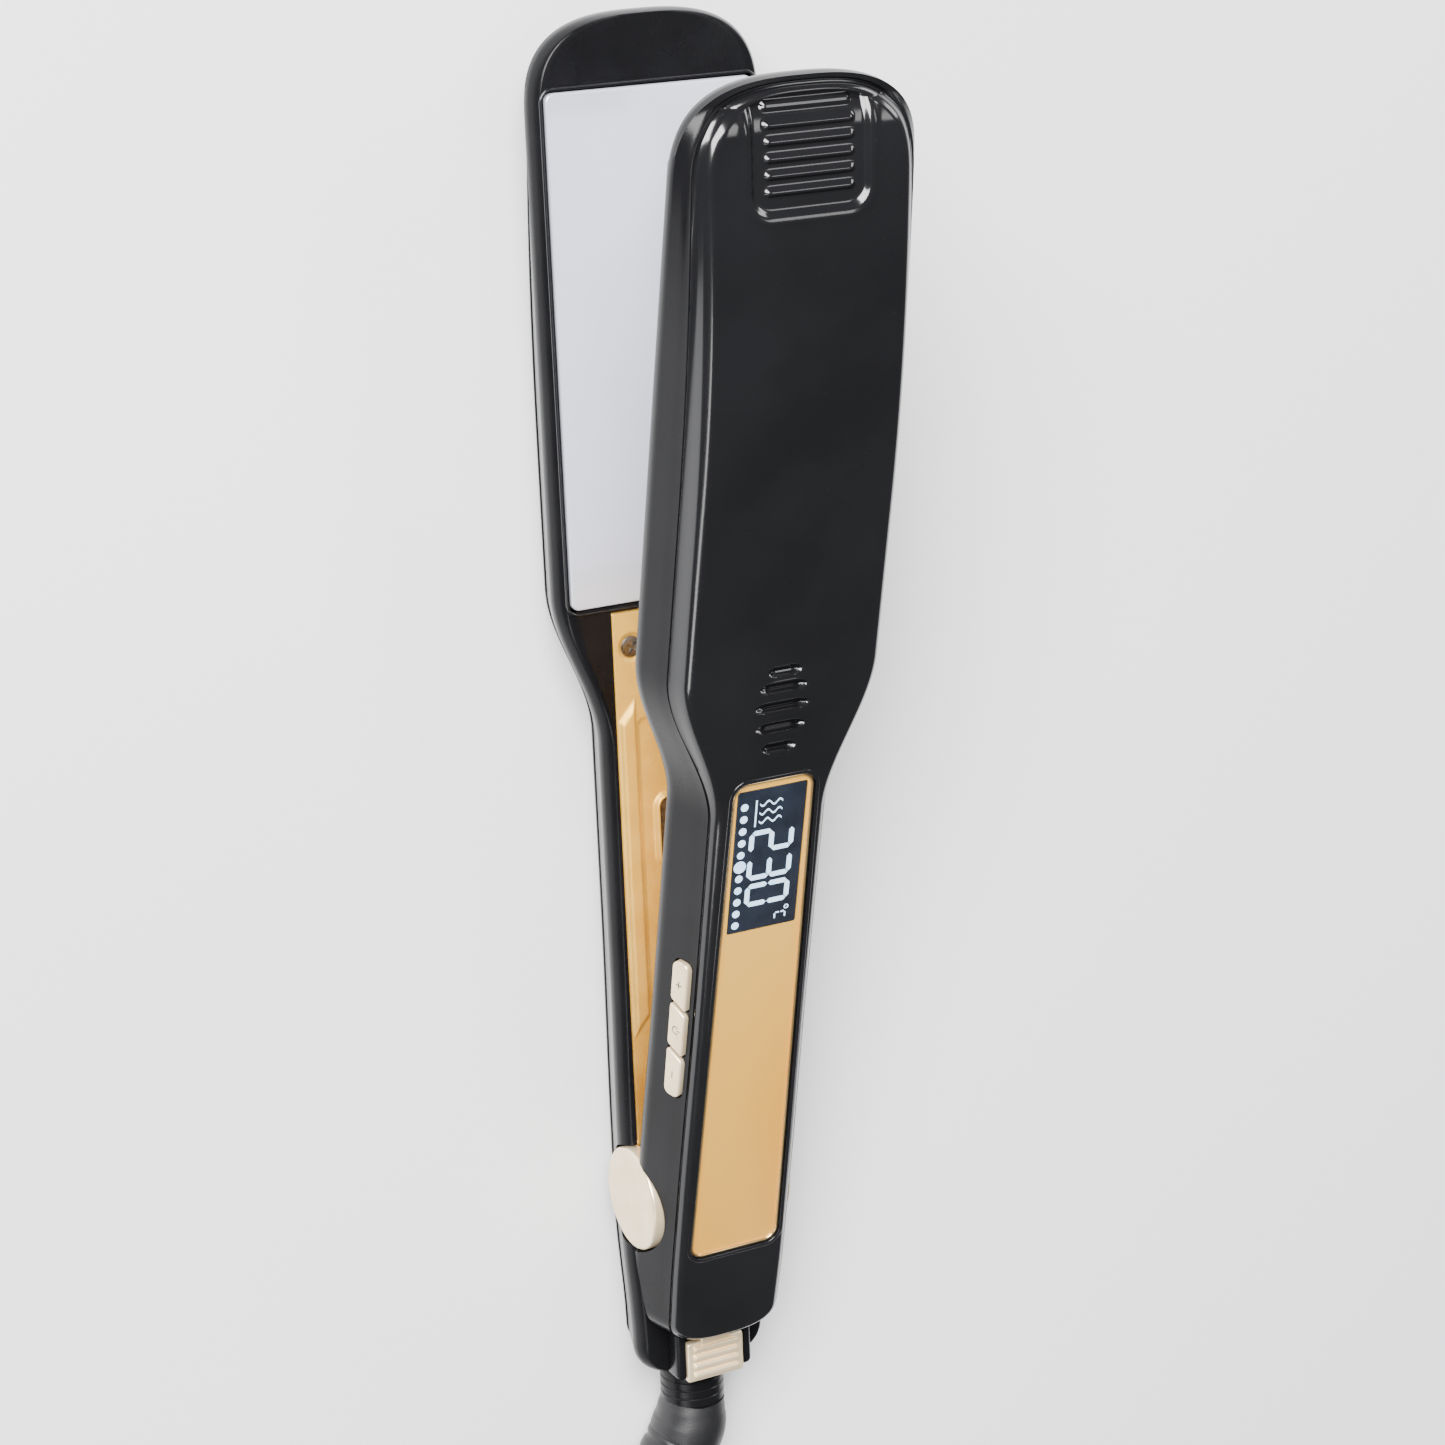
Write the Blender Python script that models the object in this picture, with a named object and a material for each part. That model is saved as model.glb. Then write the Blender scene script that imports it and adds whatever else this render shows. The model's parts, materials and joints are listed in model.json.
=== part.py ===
# Flat iron with floating wide plates, a spring hinge, a lock slider and a mains cord.
#
# Lengths are millimetres until a mesh is made, and metres from there on. Most pieces are given in
# their arm's own frame: x across, y from the hinge axis towards the tip, h outwards from the plane
# where the two arms meet. The lower arm's frame is turned over, so its h points down.

import math

import bmesh
import bpy
import numpy as np
from mathutils import Matrix, Vector

MM = 0.001

# Driving dimensions
OPEN_ANGLE = math.radians(13.3)  # between the arms at rest, which is fully open
HINGE_Y = -99.1  # puts the origin under the middle of the iron without its cord
ARM_DEPTH = 17.8  # meeting plane to outer face
TIP_Y = 254.0
LOWER_TAIL_Y = -46.2
UPPER_TAIL_Y = -33.0
HEAD_HALF = 25.8
HANDLE_HALF = 16.6
SHOULDER_START, SHOULDER_END = 102.5, 136.0
TIP_ROUND, TAIL_ROUND = 20.3, 9.0
TIP_LEAN, TAIL_LEAN = 0.4, 0.7  # share of the side wall's lean that the end walls take
WALL = 2.0
TIP_WALL = 12.0  # solid length at the tip, in front of the hollow
GAP = 0.3  # left between pieces that touch
DECK_FACE, DECK_BACK = 0.6, 2.6
WIDEST_LOW, WIDEST_HIGH = 3.5, 5.0  # the side wall is widest between these depths
LEAN_IN, LEAN_OUT = 1.6, 4.6  # how far it stands in at the deck and at the outer face
PART_LINE_HANDLE, PART_LINE_HEAD = 15.0, 12.4  # where the housing meets the outer shell
PARTING_GAP = 0.44
SHELL_FLOOR = 15.0

PLATE_HALF, PLATE_START, PLATE_END = 23.2, 133.4, 239.2
PLATE_FACE = 0.2
COVER_HALF, COVER_START, COVER_END = 14.0, 11.0, 131.5
COVER_FACE, COVER_BACK = 1.4, 2.8
BAR_MIDDLE, BAR_START, BAR_END = 11.3, 38.0, 110.5
SOCKET_Y, SOCKET_HALF_X, SOCKET_HALF_Y = 82.0, 4.7, 7.3
SCREW_X, SCREW_Y = 9.5, 123.5

PANEL_START, PANEL_END = -6.4, 111.6
PANEL_HALF_TAIL, PANEL_HALF_TIP = 10.8, 9.4
PANEL_FLOOR = ARM_DEPTH - 1.7
SCREEN_START, SCREEN_END, SCREEN_HALF = 76.0, 109.4, 7.9
VENTS = ((136.1, 4.4), (132.5, 6.1), (128.2, 7.0), (123.5, 6.2), (118.8, 4.4))  # y and half length
GRIP_HALF, GRIP_START, GRIP_DEPTH = 12.0, 230.5, 0.7
RIB_COUNT, RIB_START, RIB_STEP, RIB_HALF = 7, 234.1, 3.05, 8.9

BUTTON_Y, BUTTON_DEPTH = 51.0, 11.4  # middle of the three buttons on the side wall
BUTTON_HALF_LENGTH, BUTTON_HALF_WIDTH = 16.6, 2.2

PIN_RADIUS, CAP_RADIUS = 2.4, 11.5
CAP_INNER, CAP_OUTER = 13.4, 16.9
LOWER_EAR, UPPER_EAR = (11.0, 12.5), (8.7, 10.3)

BLOCK_HALF, BLOCK_TOP, BLOCK_START = 9.3, -4.2, -17.0  # raised block that carries the lock slider
SLIDER_HALF, SLIDER_OUT, SLIDER_IN, SLIDER_TOP = 7.0, -45.7, -36.1, -5.3
SLIDER_TRAVEL = 6.0
CATCH_Y, CATCH_HALF = -26.0, 5.6

NECK_DEPTH, NECK_RADIUS, NECK_END = 8.2, 7.2, -55.8
CORD_RADIUS = 3.25
RUN_LENGTH, FOLD_RADIUS, TURN_STEP = 164.0, 20.4, 6.7
WAIST = 9.0  # how far the tie pulls each run in at the middle
HANK_Y = -227.0  # middle of the hank, from the hinge axis
TIE_HALF, TIE_THICK = 8.0, 1.3
PLUG_HALF, PLUG_HEIGHT, PLUG_LENGTH = 17.6, 13.7, 36.0
PIN_METAL_RADIUS, PIN_SPACING = 2.0, 18.6

# Colour, roughness, metallic
FINISHES = {
    "gloss_black": ((0.012, 0.012, 0.013), 0.12, 0.0),
    "satin_black": ((0.028, 0.028, 0.030), 0.38, 0.0),
    "inner_black": ((0.05, 0.05, 0.05), 0.6, 0.0),
    "mirror_plate": ((0.80, 0.80, 0.84), 0.06, 1.0),
    "sanded_gold": ((0.72, 0.47, 0.16), 0.42, 0.8),
    "panel_gold": ((0.90, 0.66, 0.30), 0.25, 0.7),
    "champagne": ((0.86, 0.76, 0.62), 0.32, 0.9),
    "screen": ((0.010, 0.016, 0.030), 0.15, 0.0),
    "clear": ((0.95, 0.95, 0.95), 0.03, 0.0),
    "dark_steel": ((0.30, 0.29, 0.28), 0.30, 1.0),
    "spring_steel": ((0.55, 0.55, 0.56), 0.35, 1.0),
    "ceramic": ((0.85, 0.83, 0.78), 0.6, 0.0),
    "silicone": ((0.55, 0.10, 0.08), 0.6, 0.0),
    "board": ((0.03, 0.16, 0.07), 0.5, 0.0),
    "cord_rubber": ((0.02, 0.02, 0.02), 0.5, 0.0),
    "tie_fabric": ((0.03, 0.03, 0.035), 0.9, 0.0),
    "pin_metal": ((0.75, 0.72, 0.65), 0.25, 1.0),
}


# ---- Frames, materials and meshes

def clear_scene():
    for obj in list(bpy.data.objects):
        bpy.data.objects.remove(obj)


def frame_empty(name, matrix, parent=None):
    empty = bpy.data.objects.new(name, None)
    bpy.context.scene.collection.objects.link(empty)
    empty.parent = parent
    empty.matrix_local = matrix
    return empty


def material(name, finish):
    colour, roughness, metallic = FINISHES[finish]
    made = bpy.data.materials.new(name)
    made.use_nodes = True
    shader = made.node_tree.nodes["Principled BSDF"]
    shader.inputs["Base Color"].default_value = (*colour, 1.0)
    shader.inputs["Roughness"].default_value = roughness
    shader.inputs["Metallic"].default_value = metallic
    made.diffuse_color = (*colour, 1.0)
    return made


def as_object(name, bm, frame, finish, origin=(0.0, 0.0, 0.0)):
    """Scales a millimetre bmesh to metres, points its faces out and puts its origin where asked."""
    bmesh.ops.translate(bm, verts=bm.verts, vec=-Vector(origin))
    bmesh.ops.scale(bm, verts=bm.verts, vec=(MM, MM, MM))
    bmesh.ops.recalc_face_normals(bm, faces=bm.faces)
    mesh = bpy.data.meshes.new(name)
    bm.to_mesh(mesh)
    bm.free()
    mesh.shade_smooth()
    mesh.set_sharp_from_angle(angle=math.radians(35))
    obj = bpy.data.objects.new(name, mesh)
    bpy.context.scene.collection.objects.link(obj)
    obj.parent = frame
    obj.location = Vector(origin) * MM
    if finish:
        mesh.materials.append(material(name, finish))
    return obj


def bm_of(points, faces):
    bm = bmesh.new()
    verts = [bm.verts.new(point) for point in points]
    for face in faces:
        bm.faces.new([verts[i] for i in face])
    return bm


def bm_box(low, high, bevel=0.0):
    bm = bmesh.new()
    bmesh.ops.create_cube(bm, size=1.0)
    low, high = Vector(low), Vector(high)
    bmesh.ops.scale(bm, verts=bm.verts, vec=high - low)
    bmesh.ops.translate(bm, verts=bm.verts, vec=(low + high) / 2)
    if bevel:
        bmesh.ops.bevel(bm, geom=bm.edges, offset=bevel, segments=2, profile=0.5, affect="EDGES")
    return bm


def bm_turned(profile, start, direction, sides):
    """A solid of revolution. The profile lists (distance along the axis, radius), open at both ends."""
    turn = Vector((0, 0, 1)).rotation_difference(Vector(direction)).to_matrix()
    angles = [2 * math.pi * k / sides for k in range(sides)]
    points = []
    for along, radius in profile:
        for angle in angles:
            local = Vector((radius * math.cos(angle), radius * math.sin(angle), along))
            points.append(Vector(start) + turn @ local)
    faces = [list(range(sides)), list(range(sides * (len(profile) - 1), sides * len(profile)))]
    for row in range(len(profile) - 1):
        for k in range(sides):
            a, b = row * sides + k, row * sides + (k + 1) % sides
            faces.append((a, b, b + sides, a + sides))
    return bm_of(points, faces)


def bm_prism(outline, low, high, along="h"):
    """An outline of pairs extruded between two values of one axis: (x, y) along h, or (y, h) along x."""
    place = {"h": lambda p, e: (p[0], p[1], e), "x": lambda p, e: (e, p[0], p[1])}[along]
    count = len(outline)
    points = [place(p, low) for p in outline] + [place(p, high) for p in outline]
    faces = [list(range(count)), list(range(count, 2 * count))]
    for k in range(count):
        after = (k + 1) % count
        faces.append((k, after, after + count, k + count))
    return bm_of(points, faces)


def join_bm(*parts):
    """Several closed shapes in one mesh, for a Boolean operand."""
    whole = bmesh.new()
    for part in parts:
        mesh = bpy.data.meshes.new("part")
        part.to_mesh(mesh)
        part.free()
        whole.from_mesh(mesh)
        bpy.data.meshes.remove(mesh)
    return whole


def boolean(target, bm, operation="DIFFERENCE", frame=None):
    """Cuts or joins a millimetre bmesh. It is given in the target's own frame, and follows the target,
    unless another frame is named."""
    tool = as_object(f"{target.name}_{operation.lower()}", bm, frame or target, None)
    tool.location = Vector() if frame else -target.location
    tool.hide_render = True
    tool.display_type = "WIRE"
    modifier = target.modifiers.new(operation.title(), "BOOLEAN")
    modifier.operation = operation
    modifier.object = tool


def rounded(corners, radius, steps=3):
    """A polygon with each corner replaced by an arc of the given radius."""
    points = []
    count = len(corners)
    for k, corner in enumerate(corners):
        here = Vector(corner)
        back = (Vector(corners[k - 1]) - here).normalized()
        ahead = (Vector(corners[(k + 1) % count]) - here).normalized()
        half = back.angle(ahead) / 2
        centre = here + (back + ahead).normalized() * (radius / math.sin(half))
        first = here + back * (radius / math.tan(half)) - centre
        last = here + ahead * (radius / math.tan(half)) - centre
        for step in range(steps + 1):
            arm = first.slerp(last, step / steps)
            points.append(tuple(centre + arm.normalized() * radius))
    return points


def rectangle(x_half, start, end):
    return [(-x_half, start), (x_half, start), (x_half, end), (-x_half, end)]


# ---- The arms' shared shape

def smooth(t):
    t = np.clip(t, 0.0, 1.0)
    return t * t * (3 - 2 * t)


def half_width(y, tail_y):
    """Half the arm's width where it is widest: head, shoulder, handle, a slight swell, then the tail."""
    shoulder = smooth((y - SHOULDER_START) / (SHOULDER_END - SHOULDER_START))
    swell = 0.4 * smooth((60 - y) / 50)
    tail_taper = 1.4 if tail_y == LOWER_TAIL_Y else 0.6
    taper = tail_taper * smooth((-8 - y) / 30)
    return HANDLE_HALF + (HEAD_HALF - HANDLE_HALF) * shoulder + swell - taper


def side_inset(h):
    """How far the side wall stands in from its widest line at depth h."""
    below = LEAN_IN * np.clip((WIDEST_LOW - h) / (WIDEST_LOW - DECK_FACE), 0, 1) ** 1.6
    above = LEAN_OUT * np.clip((h - WIDEST_HIGH) / (ARM_DEPTH - WIDEST_HIGH), 0, None) ** 1.25
    return below + above


def part_line(y):
    head = smooth((y - SHOULDER_START) / (SHOULDER_END - SHOULDER_START))
    return PART_LINE_HANDLE + (PART_LINE_HEAD - PART_LINE_HANDLE) * head


def fall(y):
    """How far the outer face has come down at y: slowly along the head, then quickly round the tip."""
    slow = 0.00142 * np.clip(y - 170.0, 0, None) ** 2
    fast = 0.062 * np.clip(y - 244.5, 0, None) ** 2
    return np.minimum(slow + fast, 10.4)


def with_fall(y, h):
    """Depths beyond the widest line come down with the outer face, the nearer ones a little less."""
    share = np.clip((h - WIDEST_HIGH) / (ARM_DEPTH - WIDEST_HIGH), 0, 1)
    return h - fall(y) * np.minimum(1.1 * share, 0.3 + 0.7 * share)


def quarter(count, power):
    """A quarter of a superellipse as (across, along) shares, from its end to its side."""
    angle = np.linspace(math.pi / 2, 0, count)
    return np.cos(angle).clip(0) ** (2 / power), np.sin(angle) ** (2 / power)


def ring(depth, lean, wall, tail_y):
    """A closed ring of points round the arm at a depth. It stands in from the widest outline by the
    wall's lean there, of which the ends take only a part, and by the wall's thickness. The depth is a
    number that falls with the outer face or a function of y that already has, the lean either."""
    depth_at = depth if callable(depth) else lambda y: with_fall(y, depth)
    lean_at = lean if callable(lean) else lambda y: y * 0 + lean
    tip_y, end_y = TIP_Y - TIP_ROUND, tail_y + TAIL_ROUND
    across, along = quarter(8, 2.8)
    tip_lean, end_lean = lean_at(np.array(tip_y)), lean_at(np.array(end_y))
    tip_wall = TIP_WALL if wall else 0.0
    tip = np.column_stack([across * (half_width(tip_y, tail_y) - tip_lean - wall),
                           tip_y + along * (TIP_ROUND - TIP_LEAN * tip_lean - tip_wall)])
    shoulder = np.linspace(SHOULDER_END + 2, SHOULDER_START - 2, 7)
    sides = [224, 210, 190, 165, *shoulder, 65, 40, 15, 2, -10]
    if tail_y == LOWER_TAIL_Y:
        sides += [-20, -30]
    side_y = np.array(sides, float)
    side = np.column_stack([half_width(side_y, tail_y) - lean_at(side_y) - wall, side_y])
    across, along = quarter(5, 2.6)
    tail = np.column_stack([across * (half_width(end_y, tail_y) - end_lean - wall),
                            end_y - along * (TAIL_ROUND - TAIL_LEAN * end_lean - wall)])[::-1]
    right = np.vstack([tip, side, tail])
    left = right[-2:0:-1] * (-1, 1)
    outline = np.vstack([right, left])
    return np.column_stack([outline, depth_at(outline[:, 1])])


def wall_ring(depth, wall, tail_y):
    """A ring on the side wall's own slope."""
    return ring(depth, side_inset(depth), wall, tail_y)


def seam_ring(offset, wall, tail_y):
    """A ring beside the line where the housing meets the shell."""
    return ring(lambda y: with_fall(y, part_line(y)) + offset, lambda y: side_inset(part_line(y)),
                wall, tail_y)


def bm_loft(rings):
    """Bridges rings of equal count and closes the first and last with strips across the arm."""
    count = len(rings[0])
    points = [tuple(point) for one in rings for point in one]
    faces = []
    for row in range(len(rings) - 1):
        for k in range(count):
            a, b = row * count + k, row * count + (k + 1) % count
            faces.append((a, b, b + count, a + count))
    for base in (0, (len(rings) - 1) * count):
        for k in range(count // 2):
            strip = [base + k, base + k + 1, base + (count - k - 1) % count, base + (count - k) % count]
            faces.append(tuple(dict.fromkeys(strip)))
    return bm_of(points, faces)


# ---- Shells and housings

def make_housing(name, frame, tail_y):
    outer = [wall_ring(h, 0.0, tail_y) for h in (DECK_FACE, 1.3, 2.2, WIDEST_LOW, WIDEST_HIGH, 8.5)]
    inner = [wall_ring(h, WALL, tail_y) for h in (8.5, WIDEST_HIGH, DECK_BACK)]
    edge = [seam_ring(-PARTING_GAP / 2, wall, tail_y) for wall in (0.0, WALL)]
    rings = [*outer, *edge, *inner]
    housing = as_object(name, bm_loft(rings), frame, "satin_black")
    boolean(housing, bm_prism(rectangle(PLATE_HALF + GAP, PLATE_START - GAP, PLATE_END + GAP), -1, 5))
    boolean(housing, bm_prism(rectangle(COVER_HALF + GAP, COVER_START - GAP, COVER_END + GAP), -1, 5))
    return housing


def make_shell(name, frame, tail_y):
    rounding = ((1.9, 0.0), (0.8, 0.3), (0.25, 0.75), (0.0, 1.4))  # below the outer face, and inwards
    outer = [ring(ARM_DEPTH - down, side_inset(ARM_DEPTH - down) + in_by, 0.0, tail_y)
             for down, in_by in rounding]
    inner = ring(SHELL_FLOOR, side_inset(SHELL_FLOOR), WALL, tail_y)
    edge = [seam_ring(PARTING_GAP / 2, wall, tail_y) for wall in (WALL, 0.0)]
    rings = [inner, *edge, *outer]
    shell = as_object(name, bm_loft(rings), frame, "gloss_black")
    boolean(shell, bm_vents())
    boolean(shell, bm_grip())
    return shell


def outer_face(y):
    return ARM_DEPTH - float(fall(y))


def bm_grip():
    """The shallow recess at the tip, whose floor follows the outer face down."""
    floor = [(y, outer_face(y) - GRIP_DEPTH) for y in np.linspace(GRIP_START, TIP_Y + 2, 8)]
    return bm_prism([*floor, (TIP_Y + 2, 20), (GRIP_START, 20)], -GRIP_HALF, GRIP_HALF, "x")


def bm_vents():
    """Lens-shaped slots across the outer face, from two arcs each."""
    slots = []
    for y, half in VENTS:
        bow = [(half * math.cos(a), y + 0.75 * math.sin(a)) for a in np.linspace(0, 2 * math.pi, 15)[:-1]]
        slots.append(bm_prism(bow, SHELL_FLOOR - 2, ARM_DEPTH + 2))
    return join_bm(*slots)


def bm_ribs():
    bars = []
    for k in range(RIB_COUNT):
        y = RIB_START + k * RIB_STEP
        bars.append(bm_box((-RIB_HALF, y - 0.6, outer_face(y) - GRIP_DEPTH - 0.25),
                           (RIB_HALF, y + 0.6, outer_face(y) - 0.25)))
    return join_bm(*bars)


def screw_bosses():
    """Two tubes inside the shell that the cover screws bite into."""
    tubes = [bm_turned(((4.6, 3.0), (SHELL_FLOOR + 0.5, 3.0)), (s * SCREW_X, SCREW_Y, 0), (0, 0, 1), 16)
             for s in (-1, 1)]
    return join_bm(*tubes)


def screw_holes():
    holes = [bm_turned(((3.0, 1.6), (12.5, 1.6)), (s * SCREW_X, SCREW_Y, 0), (0, 0, 1), 12)
             for s in (-1, 1)]
    return join_bm(*holes)


def hinge_clearances():
    """Round pockets in both sides for the caps."""
    return [bm_turned(((CAP_INNER - 0.4, 12.0), (24.0, 12.0)), (0, 0, 0), (side, 0, 0), 36)
            for side in (-1, 1)]


def make_lower_shells(frame):
    housing = make_housing("lower_housing", frame, LOWER_TAIL_Y)
    block = bm_box((-BLOCK_HALF, LOWER_TAIL_Y + 1.2, BLOCK_TOP), (BLOCK_HALF, BLOCK_START, 1.6), 1.2)
    boolean(housing, block, "UNION")
    head_recess = bm_box((-SLIDER_HALF - GAP, -49, -8),
                         (SLIDER_HALF + GAP, SLIDER_IN + SLIDER_TRAVEL + 0.4, -2.2))
    nose_recess = bm_box((-3.9, -40, -8), (3.9, -21.4, -2.0))
    catch_slot = bm_box((-CATCH_HALF - 0.9, -30.4, -8), (CATCH_HALF + 0.9, -23.6, 4))
    foot_slot = bm_box((-1.9, -43.6, -4), (1.9, -32.4, 4))
    for tool in (head_recess, nose_recess, catch_slot, foot_slot, *hinge_clearances()):
        boolean(housing, tool)
    boolean(housing, bm_box((-CAP_INNER, -8.5, -2), (CAP_INNER, COVER_START + 1, 5)))
    boolean(housing, bm_turned(((0, 5.6), (12, 5.6)), (0, -40, NECK_DEPTH), (0, -1, 0), 28))
    boolean(housing, bm_turned(((0, 6.5), (3.4, 6.5)), (0, -41.4, NECK_DEPTH), (0, -1, 0), 28))
    shell = make_shell("lower_shell", frame, LOWER_TAIL_Y)
    finish_shell(shell)


def make_upper_shells(frame):
    housing = make_housing("upper_housing", frame, UPPER_TAIL_Y)
    slope = bm_prism([(-2.0, -3), (-2.0, 1.4), (-42, 13.0), (-42, -3)], -26, 26, "x")
    middle = bm_box((-11.6, -42, -3), (11.6, -8, 20))
    window = bm_box((-CAP_INNER, -9.5, -2), (CAP_INNER, COVER_START + 1, 5))
    for tool in (slope, middle, window, *hinge_clearances()):
        boolean(housing, tool)
    shell = make_shell("upper_shell", frame, UPPER_TAIL_Y)
    panel = rounded(panel_corners(GAP), 3.0)
    boolean(shell, bm_prism(panel, PANEL_FLOOR, ARM_DEPTH + 3))
    boolean(shell, bm_prism(rectangle(6.6, SCREEN_START + 2, SCREEN_END - 2), 10, 19))
    finish_shell(shell)
    return housing


def finish_shell(shell):
    for tool in hinge_clearances():
        boolean(shell, tool)
    boolean(shell, bm_ribs(), "UNION")
    boolean(shell, screw_bosses(), "UNION")
    boolean(shell, screw_holes())


# ---- Inner covers and their screws

def make_cover(prefix, frame, with_socket):
    outline = rounded(rectangle(COVER_HALF, COVER_START, COVER_END), 1.0, 1)
    sheet = bm_prism(outline, COVER_FACE, COVER_BACK)
    cover = as_object(f"{prefix}_inner_cover", sheet, frame, "sanded_gold")
    field = rectangle(BAR_MIDDLE - 2.4, COVER_START + 8, BAR_END - 3)
    boolean(cover, bm_prism(field, 0, COVER_FACE + 0.4))
    for side in (-1, 1):
        boolean(cover, bm_bar(side * BAR_MIDDLE), "UNION")
    low, high = SOCKET_Y - SOCKET_HALF_Y, SOCKET_Y + SOCKET_HALF_Y
    if with_socket:
        rim = rounded(rectangle(SOCKET_HALF_X + 0.9, low - 0.9, high + 0.9), 2.9)
        boolean(cover, bm_prism(rim, 0.7, COVER_BACK - 0.4), "UNION")
        boolean(cover, bm_prism(rounded(rectangle(SOCKET_HALF_X, low, high), 2.2), -1, 5))
    else:
        boolean(cover, bm_box((-2.0, SOCKET_Y - 5, -1), (2.0, SOCKET_Y + 5, 5)))
    seats = [bm_turned(((0, 2.7), (2.0, 2.7)), (s * SCREW_X, SCREW_Y, 0), (0, 0, 1), 20) for s in (-1, 1)]
    holes = [bm_turned(((0, 1.6), (5, 1.6)), (s * SCREW_X, SCREW_Y, 0), (0, 0, 1), 12) for s in (-1, 1)]
    for tool in (*seats, *holes):
        boolean(cover, tool)


def bm_bar(x):
    """A raised bar with sloped flanks and slanted, chamfered ends."""
    foot, top = 2.1, 1.3
    rows = (((foot, 0.0), COVER_BACK - 0.5), ((foot, 0.0), COVER_FACE), ((top, 2.2), 0.5))
    points = []
    for (half, end_inset), h in rows:
        lean = 2.5 * half / foot * (1 if x > 0 else -1)
        low_y, high_y = BAR_START + end_inset, BAR_END - end_inset
        points += [(x - half, low_y + lean, h), (x + half, low_y - lean, h),
                   (x + half, high_y - lean, h), (x - half, high_y + lean, h)]
    faces = [(0, 1, 2, 3), (8, 9, 10, 11)]
    for row in (0, 4):
        faces += [(row + k, row + (k + 1) % 4, row + (k + 1) % 4 + 4, row + k + 4) for k in range(4)]
    return bm_of(points, faces)


def make_screws(prefix, frame):
    for side, word in ((-1, "left"), (1, "right")):
        profile = ((1.0, 1.6), (1.25, 2.3), (1.7, 2.35), (1.71, 1.3), (9.5, 1.3), (10.5, 0.5))
        turned = bm_turned(profile, (side * SCREW_X, SCREW_Y, 0), (0, 0, 1), 20)
        screw = as_object(f"{prefix}_screw_{word}", turned, frame, "dark_steel")
        for half_x, half_y in ((1.3, 0.28), (0.28, 1.3)):
            boolean(screw, bm_box((side * SCREW_X - half_x, SCREW_Y - half_y, 0),
                                  (side * SCREW_X + half_x, SCREW_Y + half_y, 1.5)))


def make_socket_insert(frame):
    low, high = SOCKET_Y - SOCKET_HALF_Y, SOCKET_Y + SOCKET_HALF_Y
    cup = rounded(rectangle(SOCKET_HALF_X - GAP, low + GAP, high - GAP), 1.9)
    insert = as_object("guide_socket", bm_prism(cup, 1.6, 7.4), frame, "dark_steel")
    boolean(insert, bm_prism(rounded(rectangle(SOCKET_HALF_X - 1.5, low + 1.5, high - 1.5), 0.9), 0, 6.4))


def make_guide_tongue(frame):
    """The upper arm's tongue, which enters the lower arm's socket as the arms close."""
    foot = bm_box((-3.4, SOCKET_Y - 6, COVER_BACK + GAP), (3.4, SOCKET_Y + 6, 4.6), 0.4)
    tongue = as_object("guide_tongue", foot, frame, "satin_black")
    side = ((-4.2, 4.0), (-3.6, -3.4), (3.6, -3.4), (4.2, 4.0))
    blade = rounded([(SOCKET_Y + along, h) for along, h in side], 0.8)
    boolean(tongue, bm_prism(blade, -1.6, 1.6, "x"), "UNION")


# ---- Heating plates

def make_plate(prefix, frame):
    middle = (PLATE_START + PLATE_END) / 2
    outline = rounded(rectangle(PLATE_HALF, PLATE_START, PLATE_END), 1.2, 2)
    plate = as_object(f"{prefix}_plate", bm_prism(outline, PLATE_FACE, 1.8), frame, "mirror_plate",
                      (0, middle, PLATE_FACE))
    rails = [bm_box((s * 13 - 1, PLATE_START + 8, 1.2), (s * 13 + 1, PLATE_END - 8, 4.2))
             for s in (-1, 1)]
    boolean(plate, join_bm(*rails), "UNION")
    heater = bm_box((-8, PLATE_START + 12, 2.1), (8, PLATE_END - 12, 3.5), 0.3)
    as_object(f"{prefix}_heater", heater, frame, "ceramic", (0, middle, 2.1))


def make_heater_clamp(prefix, frame):
    """A bowed sheet spring between the plate's rails, over the heater."""
    bow = [(-11.7, 4.2), (-8.8, 4.2), (-7.6, 4.9), (7.6, 4.9), (8.8, 4.2), (11.7, 4.2)]
    strip = bow + [(x, h - 0.35) for x, h in bow[::-1]]
    points = [(x, y, h) for y in (PLATE_START + 20, PLATE_END - 20) for x, h in strip]
    count = len(strip)
    faces = [list(range(count)), list(range(count, 2 * count))]
    faces += [(k, (k + 1) % count, (k + 1) % count + count, k + count) for k in range(count)]
    middle = (PLATE_START + PLATE_END) / 2
    as_object(f"{prefix}_heater_clamp", bm_of(points, faces), frame, "spring_steel", (0, middle, 4.2))


def make_plate_holder(prefix, frame):
    """A tray behind the plate, with a silicone cushion under each end of the plate."""
    low, high = PLATE_START + 3, PLATE_END - 5
    tray = bm_box((-20.6, low, 5.9), (20.6, high, 8.8), 0.5)
    holder = as_object(f"{prefix}_plate_holder", tray, frame, "inner_black")
    boolean(holder, bm_box((-19.4, low + 1.6, 5), (19.4, high - 1.6, 7.8)))
    for word, y in (("rear", low + 12), ("front", high - 10)):
        pad = bm_box((-15, y - 4, 5.7), (15, y + 4, 7.5), 0.6)
        as_object(f"{prefix}_cushion_{word}", pad, frame, "silicone")


# ---- Display panel, boards and buttons

def panel_corners(grow):
    return [(-PANEL_HALF_TAIL - grow, PANEL_START - grow), (PANEL_HALF_TAIL + grow, PANEL_START - grow),
            (PANEL_HALF_TIP + grow, PANEL_END + grow), (-PANEL_HALF_TIP - grow, PANEL_END + grow)]


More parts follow.
